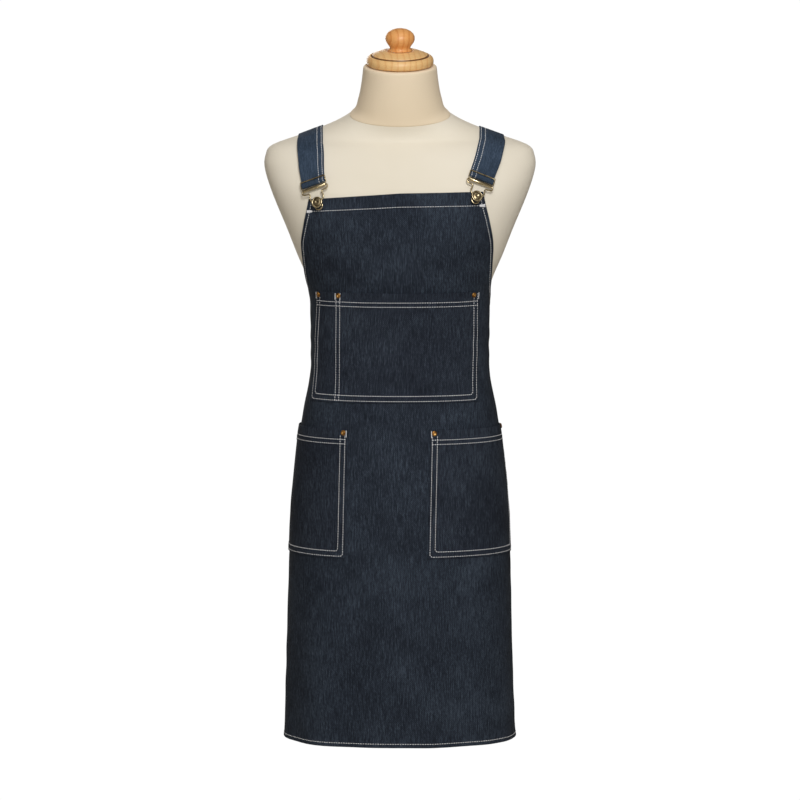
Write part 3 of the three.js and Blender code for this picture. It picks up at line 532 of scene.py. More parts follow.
def drape(s, z):
    """How far the cloth swings out from its plain hang: soft flutes below the hips, small wrinkles."""
    low = clip01((190 - z) / 480) ** 1.2
    side = 1 - 0.75 * np.exp(-((np.abs(s + 16) - 186) / 34) ** 2)
    flutes = (1.9 * np.sin(s / 24 + 0.5 + z / 420) + 1.3 * np.sin(s / 14.5 + 2.1 - z / 350)
              + 1.0 * np.sin(s / 37 + 4.0))
    back = smooth(np.abs(s), 215, 305)
    flutes = flutes * (1 + 1.2 * back) + 3.0 * back * np.sin(z / 61 + np.sign(s))
    fine = (0.30 * np.sin(s / 9.3 + 1.7 * np.sin(z / 31)) * np.sin(z / 17.0 + s / 41)
            + 0.24 * np.sin(z / 7.9 + 2.2 * np.sin(s / 23)) * np.sin(s / 19.0 - z / 53))
    pull = 0.5 * np.exp(-((z - 300) / 30) ** 2) * np.sin(z / 5.2 + s / 60) * smooth(np.abs(s), 60, 170)
    return low * flutes * side + (0.55 + 0.45 * low) * fine + pull


def on_apron(s, z, lift=0.0):
    """Points in mm on the hanging apron, and the directions out of it, from cloth coordinates."""
    s, z = np.broadcast_arrays(np.asarray(s, float), np.asarray(z, float))
    out_by = drape(s, z) + lift
    s = s - 7 - 10 * clip01((385 - z) / 205)
    share = np.maximum(0, (z - 440) / (BIB_TOP_MM - 440))
    z = z + share * np.where(s < 0, 0.068, 0.015) * s
    row = np.clip((z - cloth_heights[0]) / 3.0, 0, len(cloth_heights) - 1.001)
    column = np.clip(np.abs(s) / 1.5, 0, len(cloth_s) - 1.001)
    i, j = row.astype(int), column.astype(int)
    a, b = row - i, column - j
    turn = ((1 - a) * ((1 - b) * turn_table[i, j] + b * turn_table[i, j + 1])
            + a * ((1 - b) * turn_table[i + 1, j] + b * turn_table[i + 1, j + 1]))
    turn = np.copysign(turn, s)
    normal = outward(CLOTH_LEVELS, z, turn)
    return around(CLOTH_LEVELS, z, turn) + normal * out_by[..., None], normal


def apron_half(z):
    """Half the apron's width: straight up the skirt, then a smooth curve up the armhole."""
    knots = np.array([[ARMHOLE_MM[0, 0] - 8, HALF_APRON_MM]] + ARMHOLE_MM.tolist())
    curve = level_at(knots, np.maximum(z, CORNER_MM))[0]
    return np.where(z <= CORNER_MM, HALF_APRON_MM, np.minimum(curve, HALF_APRON_MM))


edge_heights = np.concatenate([np.arange(HEM_MM, CORNER_MM, 12), np.arange(CORNER_MM, BIB_TOP_MM + 1, 3)])
edge_line = np.stack([apron_half(edge_heights), edge_heights], -1)


def edge_distance(s, z):
    """Distance in the flat cloth from the nearer side edge or armhole."""
    a, b = edge_line[:-1], edge_line[1:]
    p = np.stack([np.abs(s), z], -1)[..., None, :]
    t = clip01(((p - a) * (b - a)).sum(-1) / ((b - a) ** 2).sum(-1))
    return np.linalg.norm(p - (a + t[..., None] * (b - a)), axis=-1).min(-1)


def groove(distance, line, depth=0.32, width=1.1):
    """The dip that a tight row of stitches pulls into the cloth."""
    return -depth * np.exp(-((distance - line) / width) ** 2)


def body_lifts(s, z):
    """Height of the apron's face and of its back above the middle of a single layer, in mm."""
    side, low, top = edge_distance(s, z), z - HEM_MM, BIB_TOP_MM - z
    turned_in = np.maximum(1 - smooth(np.minimum(side, low), EDGE_HEM_MM - 1.2, EDGE_HEM_MM + 0.6),
                           1 - smooth(top, BIB_HEM_MM + 1, BIB_HEM_MM + 2.6))
    face = 0.5 + 0.45 * turned_in
    face += groove(side, EDGE_STITCH_MM) + groove(low, HEM_STITCH_MM) + groove(top, BIB_STITCH_MM)
    # Seam pucker: the cloth ruckles between stitches that are drawn tight.
    nearest = np.minimum(np.minimum(side, low), top)
    face += 0.16 * np.sin(z / 2.6 + 0.8 * np.sin(s / 7)) * np.exp(-((side - 5) / 5) ** 2)
    face += 0.16 * np.sin(s / 2.6 + 0.8 * np.sin(z / 7)) * np.exp(-((low - 5) / 5) ** 2)
    back = -0.5 - 0.95 * turned_in
    round_off = np.sqrt(clip01(1 - (1 - clip01(nearest / 1.1)) ** 2)) * 0.8 + 0.2
    middle = (face + back) / 2
    return middle + (face - middle) * round_off, middle + (back - middle) * round_off


def denim(name, deep, mid, light, reverse, seed):
    """Indigo twill: deep blue warp over an unbleached weft, so it is flecked and streaked lengthwise.

    The yarns are 0.5 mm apart and the twill line 1 mm; both are drawn about twice as coarse.
    """
    sides = []
    for side, stops in (("face", (deep, mid, light)), ("reverse", reverse)):
        material = new_material(f"{name}_{side}")
        place = add(material, "TexCoord")
        moved = add(material, "Mapping", {"Location": (seed, seed * 1.7, 0)}, {"Vector": (place, "UV")})
        along = add(material, "Mapping", {"Scale": (620, 48, 1)}, {"Vector": (moved, "Vector")})
        slub = add(material, "TexNoise", {"Scale": 1, "Detail": 3, "Roughness": 0.6},
                   {"Vector": (along, "Vector")})
        yarn_way = add(material, "Mapping", {"Scale": (900, 210, 1), "Rotation": (0, 0, 0.18)},
                       {"Vector": (moved, "Vector")})
        flecks = add(material, "TexNoise", {"Scale": 1, "Detail": 2, "Roughness": 0.65},
                     {"Vector": (yarn_way, "Vector")})
        twill = add(material, "TexWave", {"Scale": WAVE * 2 ** 0.5 / 2.0, "Distortion": 1.5, "Detail": 2,
                                          "Detail Scale": 2, "bands_direction": "DIAGONAL"},
                    {"Vector": (moved, "Vector")})
        wash = add(material, "TexNoise", {"Scale": 11, "Detail": 4, "Roughness": 0.55},
                   {"Vector": (moved, "Vector")})
        blend_one = add(material, "Math", {"operation": "MULTIPLY_ADD", 1: 0.8},
                        {0: (flecks, "Fac"), 2: (slub, "Fac")})
        blend_two = add(material, "Math", {"operation": "MULTIPLY_ADD", 1: 0.55},
                        {0: (wash, "Fac"), 2: (blend_one, "Value")})
        blend_three = add(material, "Math", {"operation": "MULTIPLY_ADD", 1: 0.22},
                          {0: (twill, "Fac"), 2: (blend_two, "Value")})
        spread = add(material, "MapRange", {"From Min": 0.92, "From Max": 1.68},
                     {"Value": (blend_three, "Value")})
        tone = add(material, "ValToRGB", {"stops": [(0.12, stops[0]), (0.88, stops[2]), (0.5, stops[1])]},
                   {"Fac": (spread, "Result")})
        height = add(material, "Math", {"operation": "MULTIPLY_ADD", 1: 0.7},
                     {0: (flecks, "Fac"), 2: (twill, "Fac")})
        relief = add(material, "Bump", {"Strength": 0.45, "Distance": 0.00035},
                     {"Height": (height, "Value")})
        shader = add(material, "BsdfPrincipled", {"Roughness": 0.9, "Specular IOR Level": 0.15},
                     {"Base Color": (tone, "Color"), "Normal": (relief, "Normal")})
        add(material, "OutputMaterial", {}, {"Surface": (shader, "BSDF")})
        sides.append(material)
    return sides


def thread(name, pale, dull):
    """Cotton-wrapped polyester thread: off-white and faintly shiny, twisted about every 0.8 mm."""
    material = new_material(name)
    place = add(material, "TexCoord")
    twist = add(material, "TexNoise", {"Scale": 1300, "Detail": 2}, {"Vector": (place, "Object")})
    tone = add(material, "ValToRGB", {"stops": [(0.3, dull), (0.65, pale)]}, {"Fac": (twist, "Fac")})
    relief = add(material, "Bump", {"Strength": 0.4, "Distance": 0.0001}, {"Height": (twist, "Fac")})
    shader = add(material, "BsdfPrincipled", {"Roughness": 0.6, "Sheen Weight": 0.2},
                 {"Base Color": (tone, "Color"), "Normal": (relief, "Normal")})
    add(material, "OutputMaterial", {}, {"Surface": (shader, "BSDF")})
    return material


def stitch_row(points, normals, pitch=3.7, long=3.15, wide=0.58, high=0.42):
    """Points and quads of one row of lockstitches along a line on the cloth, in mm."""
    run = np.concatenate([[0], np.linalg.norm(np.diff(points, axis=0), axis=1).cumsum()])
    count = max(1, int(round(run[-1] / pitch)))
    middle = (np.arange(count) + 0.5) * run[-1] / count
    # Five rings of one stitch: place along it, width and height, as shares of the whole.
    shape = np.array([[-0.5, 0.45, -0.5], [-0.36, 0.9, 0.45], [0, 1, 1], [0.36, 0.9, 0.45],
                      [0.5, 0.45, -0.5]])
    at = middle[:, None] + shape[None, :, 0] * long
    place = np.stack([np.interp(at, run, points[:, k]) for k in range(3)], -1)
    out = unit(np.stack([np.interp(at, run, normals[:, k]) for k in range(3)], -1))
    ahead, behind = (np.stack([np.interp(at + step, run, points[:, k]) for k in range(3)], -1)
                     for step in (0.5, -0.5))
    along = unit(ahead - behind)
    side = unit(np.cross(out, along)) * (shape[:, 1] * wide)[None, :, None]
    top = out * (shape[:, 2] * high)[None, :, None]
    low = out * (shape[:, 2] * high - 0.6)[None, :, None]
    rings = np.stack([place + side + (top + low) / 2, place + top, place - side + (top + low) / 2,
                      place + low], 2)
    start = (np.arange(count) * 20)[:, None, None]
    i, j = np.mgrid[0:4, 0:4]
    quads = np.stack([i * 4 + j, i * 4 + (j + 1) % 4, (i + 1) * 4 + (j + 1) % 4, (i + 1) * 4 + j], -1)
    quads = np.concatenate([quads.reshape(-1, 4), [[3, 2, 1, 0], [16, 17, 18, 19]]])
    return rings.reshape(-1, 3), (quads[None] + start).reshape(-1, 4)


def gather(parts):
    """One set of points and faces from several."""
    points, faces, count = [], [], 0
    for part_points, part_faces in parts:
        points.append(part_points)
        faces.append(np.asarray(part_faces) + count)
        count += len(part_points)
    return np.concatenate(points), np.concatenate(faces).tolist()


def spaced_line(corners, step=2.5):
    """Points every few mm along straight runs between corners."""
    corners = np.asarray(corners, float)
    runs = [np.linspace(a, b, max(2, int(np.linalg.norm(b - a) / step)), endpoint=False)
            for a, b in zip(corners[:-1], corners[1:])]
    return np.concatenate(runs + [corners[-1:]])


near_edge = np.array([0, 0.35, 0.9, 1.6, 2.8, 4.2, 5.2, 6, 6.8, 7.6, 8.6, 10, 12.5])
near_bib_top = np.array([23.5, 22.4, 21.4, 20.6, 20, 19.4, 18.4, 16.5, 13, 10, 7, 4.5, 2.8, 1.6, 0.9,
                         0.35, 0])
# Columns near the edges stay a fixed distance in from the edge; the rest share what is between.
shared = np.linspace(-1, 1, 126)
body_heights = np.concatenate([
    HEM_MM + near_edge, np.arange(HEM_MM + 16, CORNER_MM - 6, 5), np.arange(CORNER_MM - 5, 400, 2.5),
    np.arange(400, BIB_TOP_MM - 24, 4), BIB_TOP_MM - near_bib_top,
])
half = apron_half(body_heights)[:, None]
s = np.concatenate([near_edge - half, shared * (half - 16), half - near_edge[::-1]], 1)
z = np.broadcast_to(body_heights[:, None], s.shape)
face_lift, back_lift = body_lifts(s, z)
outer, _ = on_apron(s, z, face_lift)
inner, _ = on_apron(s, z, back_lift)
points, faces, sides = shell(outer, inner)
uv = np.stack([s, z], -1).reshape(-1, 2)
BODY_REVERSE = ("#343C48", "#4D5664", "#7B838E")
indigo = denim("indigo_denim", "#151A23", "#262D38", "#414B58", BODY_REVERSE, 0.0)
apron = make("denim_apron", points, faces, indigo, "root", "denim",
             uv=np.concatenate([uv, uv]), face_materials=sides)
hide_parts("apron_body")

white_thread = thread("white_topstitch_thread", "#FAFAFC", "#D5D8DE")


def on_face(line):
    """Points and directions of a line of cloth coordinates on the apron's face."""
    line = np.asarray(line, float)
    return on_apron(line[:, 0], line[:, 1], body_lifts(line[:, 0], line[:, 1])[0])


def inset_edge(distance, low, high):
    """Cloth coordinates of a line that runs up inside the side edge and the armhole."""
    heights = np.concatenate([np.arange(low, CORNER_MM, 4), np.arange(CORNER_MM, high, 1.5), [high]])
    line = np.stack([apron_half(heights), heights], -1)
    slope = unit(np.gradient(line, axis=0))
    moved = line + np.stack([-slope[:, 1], slope[:, 0]], -1) * distance
    keep = edge_distance(moved[:, 0], moved[:, 1]) > distance - 0.4
    return moved[keep]


rows = []
for way in (-1, 1):
    rows.append(stitch_row(*on_face(inset_edge(EDGE_STITCH_MM, HEM_MM + 3, BIB_TOP_MM - 3) * (way, 1))))
hem_reach = HALF_APRON_MM - 2.5
rows.append(stitch_row(*on_face(spaced_line([(-hem_reach, HEM_MM + HEM_STITCH_MM),
                                             (hem_reach, HEM_MM + HEM_STITCH_MM)]))))
bib_reach = float(apron_half(np.array(BIB_TOP_MM - BIB_STITCH_MM))) - 1.5
rows.append(stitch_row(*on_face(spaced_line([(-bib_reach, BIB_TOP_MM - BIB_STITCH_MM),
                                             (bib_reach, BIB_TOP_MM - BIB_STITCH_MM)]))))
# A bar tack of overlapping stitches locks each end of the bib's hem.
for way in (-1, 1):
    for offset in (-1.0, 0.0, 1.0):
        height = BIB_TOP_MM - BIB_STITCH_MM + offset
        tack = spaced_line([(way * (bib_reach - 9), height), (way * bib_reach, height + 0.5 * offset)], 1)
        rows.append(stitch_row(*on_face(tack), pitch=2.3, long=3.0, wide=0.75, high=0.75))
apron_stitches = make("apron_topstitch", *gather(rows), [white_thread], "root", None)

# ------------------------------------------------------------------ pockets
# A chest pocket with a pen slot and two hip pockets, cut from the same denim. Each is turned in
# at its sides and bottom, hemmed deep at its mouth, and sewn on flat with two rows of stitching.
# The left and right sides and the pen slot's seam are each given at the mouth and at the bottom.
POCKETS_MM = {
    "chest_pocket": dict(left=(-132.5, -136.5), right=(134.5, 138.5), bottom=221, top=384.5,
                         divider=(-87.5, -81)),
    "hip_pocket_left": dict(left=(-237, -241), right=(-62, -66), bottom=-8, top=181.5, divider=None),
    "hip_pocket_right": dict(left=(62, 58), right=(237, 233), bottom=-8, top=181.5, divider=None),
}
ROW_ONE_MM, ROW_TWO_MM = 3.0, 10.5  # from a pocket's edge to its two rows of stitches
MOUTH_ROWS_MM = (14.2, 20.6)  # from the mouth down to the rows that hold its hem
MOUTH_HEM_MM = 23
SEAM_ROW_MM = 3.2  # from the middle of the pen slot's seam to each of its rows


def pocket_line(pocket, line, z):
    """Where one of a pocket's slanting lines is at a height."""
    share = clip01((pocket["top"] - z) / (pocket["top"] - pocket["bottom"]))
    at_mouth, at_bottom = pocket[line]
    return at_mouth + (at_bottom - at_mouth) * share


def pocket_lifts(pocket, s, z):
    """Height of a pocket's face and back above the middle of the body sheet, in mm."""
    side = np.minimum(s - pocket_line(pocket, "left", z), pocket_line(pocket, "right", z) - s)
    low, mouth = z - pocket["bottom"], pocket["top"] - z
    held = np.minimum(side, low)
    if pocket["divider"]:
        seam = s - pocket_line(pocket, "divider", z)
        held = np.minimum(held, np.abs(seam) + 6)
    middle_share = smooth(held, 8, 55)
    turned_in = 1 - smooth(np.minimum(side, low), 10.5, 12.5)
    hemmed = 1 - smooth(mouth, MOUTH_HEM_MM, MOUTH_HEM_MM + 1.6)
    thick = 0.9 + 0.7 * np.maximum(turned_in, hemmed)
    gape = 0.9 * smooth(held, 6, 50) * (1 - smooth(mouth, 0, 70))
    belly = 0.5 * middle_share
    back = 0.72 + belly + gape
    face = back + thick
    for edge in (side, low):
        face += groove(edge, ROW_ONE_MM, 0.3) + groove(edge, ROW_TWO_MM, 0.3)
    for row in MOUTH_ROWS_MM:
        face += groove(mouth, row, 0.28)
    if pocket["divider"]:
        face += groove(np.abs(seam), SEAM_ROW_MM, 0.35)
    face += 0.14 * np.sin(z / 2.4 + s / 9) * np.exp(-((side - 6) / 6) ** 2)
    face += 0.14 * np.sin(s / 2.4 + z / 9) * np.exp(-((low - 6) / 6) ** 2)
    face += 0.16 * np.sin(s / 3.1 + z / 9) * np.exp(-((mouth - 19) / 5) ** 2)
    nearest = np.minimum(np.minimum(side, low), mouth)
    round_off = np.sqrt(clip01(1 - (1 - clip01(nearest / 1.0)) ** 2)) * 0.75 + 0.25
    middle = (face + back) / 2
    return middle + (face - middle) * round_off, back + 0 * face


near_seam = np.array([0, 0.3, 0.9, 2, 3, 4, 5.5, 7.5, 9.4, 10.5, 11.6, 12.6, 14])
near_mouth = np.array([0, 0.3, 0.9, 2, 5, 9, 12, 13.3, 14.2, 15.1, 17.4, 19.7, 20.6, 21.5, 23, 24.6, 26.5])
pocket_denim = denim("pocket_denim", "#141922", "#242A35", "#3E4753", BODY_REVERSE, 3.1)
for name, pocket in POCKETS_MM.items():
    tall = pocket["top"] - pocket["bottom"]
    between = np.linspace(pocket["bottom"] + 17, pocket["top"] - 30, int((tall - 47) / 3.6))
    heights = np.concatenate([pocket["bottom"] + near_seam, between,
                              (pocket["top"] - near_mouth)[::-1]])
    wide = pocket["right"][1] - pocket["left"][1]
    parts = [near_seam, np.linspace(16, wide - 16, int((wide - 32) / 3.4)), wide - near_seam[::-1]]
    if pocket["divider"]:
        seam = pocket["divider"][1] - pocket["left"][1]
        parts[1] = np.sort(np.concatenate([parts[1][np.abs(parts[1] - seam) > 6.5],
                                           seam + np.array([-6, -4.2, -3.2, -2.2, 2.2, 3.2, 4.2, 6])]))
    columns = np.concatenate(parts)
    z = np.broadcast_to(heights[:, None], (len(heights), len(columns)))
    left, right = (pocket_line(pocket, line, z) for line in ("left", "right"))
    s = left + columns[None] / wide * (right - left)
    if pocket["divider"]:  # the columns beside the pen slot follow its slant
        slant = pocket_line(pocket, "divider", z) - left - seam * (right - left) / wide
        s += slant * np.exp(-((columns[None] - seam) / 25) ** 2)
    face_lift, back_lift = pocket_lifts(pocket, s, z)
    outer, _ = on_apron(s, z, face_lift)
    inner, _ = on_apron(s, z, back_lift)
    points, faces, sides = shell(outer, inner)
    uv = np.stack([s, z], -1).reshape(-1, 2)
    piece = make(name + "_cloth", points, faces, pocket_denim, "root", "denim",
                 uv=np.concatenate([uv, uv]), face_materials=sides)
    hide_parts(name)

    def on_pocket(line, pocket=pocket):
        line = np.asarray(line, float)
        return on_apron(line[:, 0], line[:, 1], pocket_lifts(pocket, line[:, 0], line[:, 1])[0])

    rows = []
    corner = 3.0
    for inset, stops_below in ((ROW_ONE_MM, 1.5), (ROW_TWO_MM, 8)):
        up = pocket["top"] - stops_below
        low = pocket["bottom"] + inset
        (left_up, left_low), (right_up, right_low) = (
            [float(pocket_line(pocket, line, z)) + way * inset for z in (up, low)]
            for line, way in (("left", 1), ("right", -1)))
        route = [(left_up, up), (left_low, low + corner), (left_low + corner, low),
                 (right_low - corner, low), (right_low, low + corner), (right_up, up)]
        rows.append(stitch_row(*on_pocket(spaced_line(route))))
    for drop in MOUTH_ROWS_MM:
        height = pocket["top"] - drop
        ends = [(float(pocket_line(pocket, line, height)) + way * 2, height)
                for line, way in (("left", 1), ("right", -1))]
        rows.append(stitch_row(*on_pocket(spaced_line(ends))))
    # Short bar tacks at the ends of the mouth, beside each rivet.
    tacks = [pocket["left"][0] + 1.2, pocket["right"][0] - 1.2]
    if pocket["divider"]:
        for way in (-SEAM_ROW_MM, SEAM_ROW_MM):
            rows.append(stitch_row(*on_pocket(spaced_line([
                (pocket["divider"][1] + way, pocket["bottom"] + 2),
                (pocket["divider"][0] + way, pocket["top"] - 3)]))))
            tacks.append(pocket["divider"][0] + 1.3 * way)
    for tack_s in tacks:
        tack = spaced_line([(tack_s, pocket["top"] - 1), (tack_s, pocket["top"] - 11)], 1)
        rows.append(stitch_row(*on_pocket(tack), pitch=1.5, long=2.6, wide=0.65, high=0.65))
    stitches = make(name + "_topstitch", *gather(rows), [white_thread], "root", None)

# ------------------------------------------------------------------ pocket rivets
# Each pocket corner that carries load is clenched with a two-part rivet: a drawn copper-plated
# cap with a turned-in eye in front, and a plain burr behind the body cloth.
RIVET_CAP_MM = [(0, 1.0), (0.7, 0.9), (1.15, 1.35), (1.5, 1.75), (2.2, 1.8), (3.1, 1.55),
                (3.8, 0.95), (4.05, 0.3), (4.0, -0.25), (3.4, -0.35), (1.4, -0.3), (1.4, -6.4), (0, -6.4)]
RIVET_BURR_MM = [(1.6, -5.0), (3.9, -5.0), (4.2, -4.8), (4.2, -4.4), (3.9, -4.2), (1.6, -4.2)]
RIVET_DROP_MM = 4.5  # from a pocket's mouth down to its rivets


def antique_plate(name, bright, worn, recess, polish):
    """Antique-finished plating: a bright metal rubbed back through a brown-black oxide."""
    material = new_material(name)
    place = add(material, "TexCoord")
    rub = add(material, "TexNoise", {"Scale": 240, "Detail": 5, "Roughness": 0.65},
              {"Vector": (place, "Object")})
    shape = add(material, "NewGeometry")
    edge = add(material, "MapRange", {"From Min": 0.44, "From Max": 0.58},
               {"Value": (shape, "Pointiness")})
    sum_up = add(material, "Math", {"operation": "MULTIPLY_ADD", 1: 0.45},
                 {0: (edge, "Result"), 2: (rub, "Fac")})
    tone = add(material, "ValToRGB", {"stops": [(0.42, recess), (0.88, bright), (0.64, worn)]},
               {"Fac": (sum_up, "Value")})
    dull = add(material, "MapRange", {"From Min": 0.4, "From Max": 0.9, "To Min": polish + 0.25,
                                      "To Max": polish}, {"Value": (sum_up, "Value")})
    relief = add(material, "Bump", {"Strength": 0.2, "Distance": 0.00012}, {"Height": (rub, "Fac")})
    shader = add(material, "BsdfPrincipled", {"Metallic": 1.0},
                 {"Base Color": (tone, "Color"), "Roughness": (dull, "Result"),
                  "Normal": (relief, "Normal")})
    add(material, "OutputMaterial", {}, {"Surface": (shader, "BSDF")})
    return material


copper = antique_plate("antique_copper_plate", "#E9BE78", "#B98646", "#553519", 0.26)


def cloth_frame(s, z, lift):
    """A frame on the apron: x across, y up and z straight out, with its lengths in mm."""
    point, normal = on_apron(np.array([s]), np.array([z]), np.array([lift]))
    normal = Vector(normal[0])
    across = Vector((0, 0, 1)).cross(normal).normalized()
    up = normal.cross(across)
    matrix = Matrix((across, up, normal)).transposed().to_4x4()
    matrix.translation = Vector(point[0])
    return matrix


rivet_places = {
    "chest_outer": ("chest_pocket", -125.2), "chest_divider": ("chest_pocket", -86),
    "chest_inner": ("chest_pocket", 122.8), "hip_left_inner": ("hip_pocket_left", -67.5),
    "hip_left_outer": ("hip_pocket_left", -231.5), "hip_right_inner": ("hip_pocket_right", 67.5),
    "hip_right_outer": ("hip_pocket_right", 231.5),
}
for place, (pocket_name, s) in rivet_places.items():
    z = POCKETS_MM[pocket_name]["top"] - RIVET_DROP_MM
    lift = float(pocket_lifts(POCKETS_MM[pocket_name], np.array(s), np.array(z))[0]) + 0.55
    matrix = cloth_frame(s, z, lift)
    rivet = make("rivet_" + place, *lathe(RIVET_CAP_MM, 32, matrix), [copper], "root", "copper")
    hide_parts("rivet_cap_" + place)
    behind = cloth_frame(s, z, 2.9)
    burr = make("burr_" + place, *lathe(RIVET_BURR_MM, 24, behind), [copper], "root", "copper")
    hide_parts("rivet_burr_" + place)

# ------------------------------------------------------------------ shoulder straps
# Each strap is a strip of the body's denim folded to 37 mm, closed along its inner edge by two rows of
# stitches. Its colours are painted paler than the body's, a painted highlight for the light that falls on
# its upward faces. It is sewn to the far waist corner, crosses the back and threads the slider.
STRAP_HALF_MM, STRAP_THICK_MM = 18.6, 1.8


def on_form(x, z, behind=False, lift=0.0):
    """A point in mm on the form's own surface and the direction out of it."""
    half, *_, square = level_at(FORM_LEVELS, np.array(float(z)))
    quarter = math.asin(min(1.0, (abs(x) / half) ** (square / 2)))
    turn = np.array(math.copysign(math.pi - quarter if behind else quarter, x))
    normal = outward(FORM_LEVELS, np.array(float(z)), turn)
    return around(FORM_LEVELS, np.array(float(z)), turn) + normal * lift, normal


def buckle_frame(x, z, lean):
    """The plane of a buckle: origin at its button, y up the strap and z out; lengths in mm."""
    point, normal = (Vector(v) for v in on_form(x, z))
    up = (Vector((0, 0, 1)) - normal * normal.z).normalized()
    up = Matrix.Rotation(-math.radians(lean), 3, normal) @ up
    matrix = Matrix((up.cross(normal), up, normal)).transposed().to_4x4()
    matrix.translation = point - up * 18
    return matrix


BUCKLES = {"left": buckle_frame(-122.5, 531.5, -20), "right": buckle_frame(115, 538.5, 23)}
# Height and depth in the buckle's plane: behind the top bar, over the middle bar and back up.
THREADED_MM = [(39.5, 3.1), (37.8, 3.9), (36.5, 4.7), (35.2, 6.1), (34, 7.5), (32.4, 8.3), (30.6, 7.9),
               (29.3, 6.9), (28.8, 5.6), (29.2, 4.4), (30.6, 3.4), (32.6, 2.9), (35, 2.2), (37.5, 1.6),
               (40.5, 1.1)]
OVER_SHOULDER_MM = {
    "left": [(-129.8, 568), (-131, 584), (-132.5, 598), (-133, 609), (-133, 615.5), (-132.5, 613.5, 1),
             (-130.5, 603, 1), (-126, 586, 1), (-116, 560, 1), (-101, 530, 1), (-77, 497, 1),
             (-51, 464, 1), (-25, 430, 1), (1, 396, 1), (26, 362, 1), (46, 336, 1)],
    "right": [(129.5, 579), (132.5, 590), (135, 600), (136.5, 608), (136.5, 614.5), (136, 612.5, 1),
              (134, 603, 1), (129, 586, 1), (119, 560, 1), (104, 530, 1), (80, 497, 1), (55, 464, 1),
              (30, 430, 1), (5, 396, 1), (-20, 362, 1), (-40, 336, 1)],
}


def through(knots, steps):
    """A smooth line through points (centripetal Catmull-Rom), with steps even in the knots."""
    knots = np.asarray(knots, float)
    padded = np.concatenate([[2 * knots[0] - knots[1]], knots, [2 * knots[-1] - knots[-2]]])
    at = np.linspace(0, len(knots) - 1, steps + 1)
    i = np.minimum(at.astype(int), len(knots) - 2)
    w = (at - i)[:, None]
    p0, p1, p2, p3 = (padded[i + k] for k in range(4))
    d0, d1, d2 = (np.maximum(np.linalg.norm(b - a, axis=1, keepdims=True) ** 0.5, 1e-4)
                  for a, b in ((p0, p1), (p1, p2), (p2, p3)))
    t1 = ((p1 - p0) / d0 - (p2 - p0) / (d0 + d1) + (p2 - p1) / d1) * d1
    t2 = ((p2 - p1) / d1 - (p3 - p1) / (d1 + d2) + (p3 - p2) / d2) * d1
    return (p1 + t1 * w + (-3 * p1 + 3 * p2 - 2 * t1 - t2) * w**2
            + (2 * p1 - 2 * p2 + t1 + t2) * w**3)


def ribbon_frames(points, normals, steps):
    """Points along a ribbon with its directions across, out and along, and the length run."""
    route = through(points, steps)
    facing = through(np.asarray(points) + 10 * np.asarray(normals), steps) - route
    along = unit(np.gradient(route, axis=0))
    out = unit(facing - (facing * along).sum(-1, keepdims=True) * along)
    run = np.concatenate([[0], np.linalg.norm(np.diff(route, axis=0), axis=1).cumsum()])
    return route, np.cross(out, along), out, run


def ribbon(name, frames, profile, materials, slot, uv_offset=0.0, widen=None):
    """A band of folded cloth: a closed profile of (across, out) swept along a route."""
    route, across, out, run = frames
    a, n = np.array(profile, float).T
    scale = np.ones(len(route)) if widen is None else widen
    rings = (route[:, None] + across[:, None] * (a[None] * scale[:, None])[..., None]
             + out[:, None] * n[None, :, None])
    count = len(profile)
    faces = grid_quads(count, len(route) - 1, closed=True).tolist()
    faces += [list(range(count))[::-1], list(range(rings.size // 3 - count, rings.size // 3))]
    uv = np.stack(np.broadcast_arrays(a[None] + uv_offset, run[:, None]), -1).reshape(-1, 2)
    return make(name, rings, faces, materials[:1], None, slot, uv=uv)


def band_profile(half, thick, rows=()):
    """A flat band with rounded edges, dimpled along its rows of stitches."""
    a = np.array(sorted(set(np.round(np.concatenate([
        np.linspace(-half, half, 13), *[[row - 0.9, row, row + 0.9] for row in rows],
        [-half + 0.35, -half + 1.0, half - 1.0, half - 0.35]]), 3))))
    a = a[np.abs(a) <= half]
    crown = np.sqrt(clip01(1 - (1 - clip01((half - np.abs(a)) / 0.95)) ** 2))
    dimple = sum((0.3 * np.exp(-((a - row) / 0.9) ** 2) for row in rows), np.zeros(len(a)))
    top = (thick / 2 - dimple) * crown
    face = list(zip(a, top))[::-1]
    back = list(zip(a, -(thick / 2 - 0.5 * dimple) * crown))[1:-1]
    return face + back


def buckle_axes(side):
    matrix = BUCKLES[side]
    return (np.array(matrix.translation),) + tuple(np.array(matrix.col[k].to_3d()) for k in range(3))


def strap_knots(side):
    origin, _, up, forward = buckle_axes(side)
    threaded = np.array(THREADED_MM)
    slope = np.gradient(threaded, axis=0)
    slope = slope / np.linalg.norm(slope, axis=1, keepdims=True)
    points = [origin + up * w + forward * n for w, n in threaded]
    normals = [up * dn - forward * dw for dw, dn in slope]
    over_points, over_normals = [], []
    for i, (x, z, *behind) in enumerate(OVER_SHOULDER_MM[side]):
        on_tail = min(max((4 - i) / 2, 0), 1)  # the strap lies on its own tail in front
        crossing = 2.6 * float(smooth(-z, -500, -420)) if side == "right" and behind else 0
        spanning = max(0, (440 - z) * 0.03) if behind else 0
        point, normal = on_form(x, z, bool(behind), 2.1 + 2.5 * on_tail + crossing + spanning)
        over_points.append(point)
        over_normals.append(normal)
    end = HALF_APRON_MM - 26 if side == "left" else -HALF_APRON_MM + 26
    sewn = on_apron(np.array([end, end]), np.array([CORNER_MM - 18, CORNER_MM - 1]),
                    np.array([2.6, 3.4]))
    tail = [on_form(x, z, False, 1.7) for x, z in OVER_SHOULDER_MM[side][:3]]
    points = list(sewn[0]) + over_points[::-1] + points + [p for p, _ in tail]
    normals = list(sewn[1]) + over_normals[::-1] + normals + [-n for _, n in tail]
    return points, normals
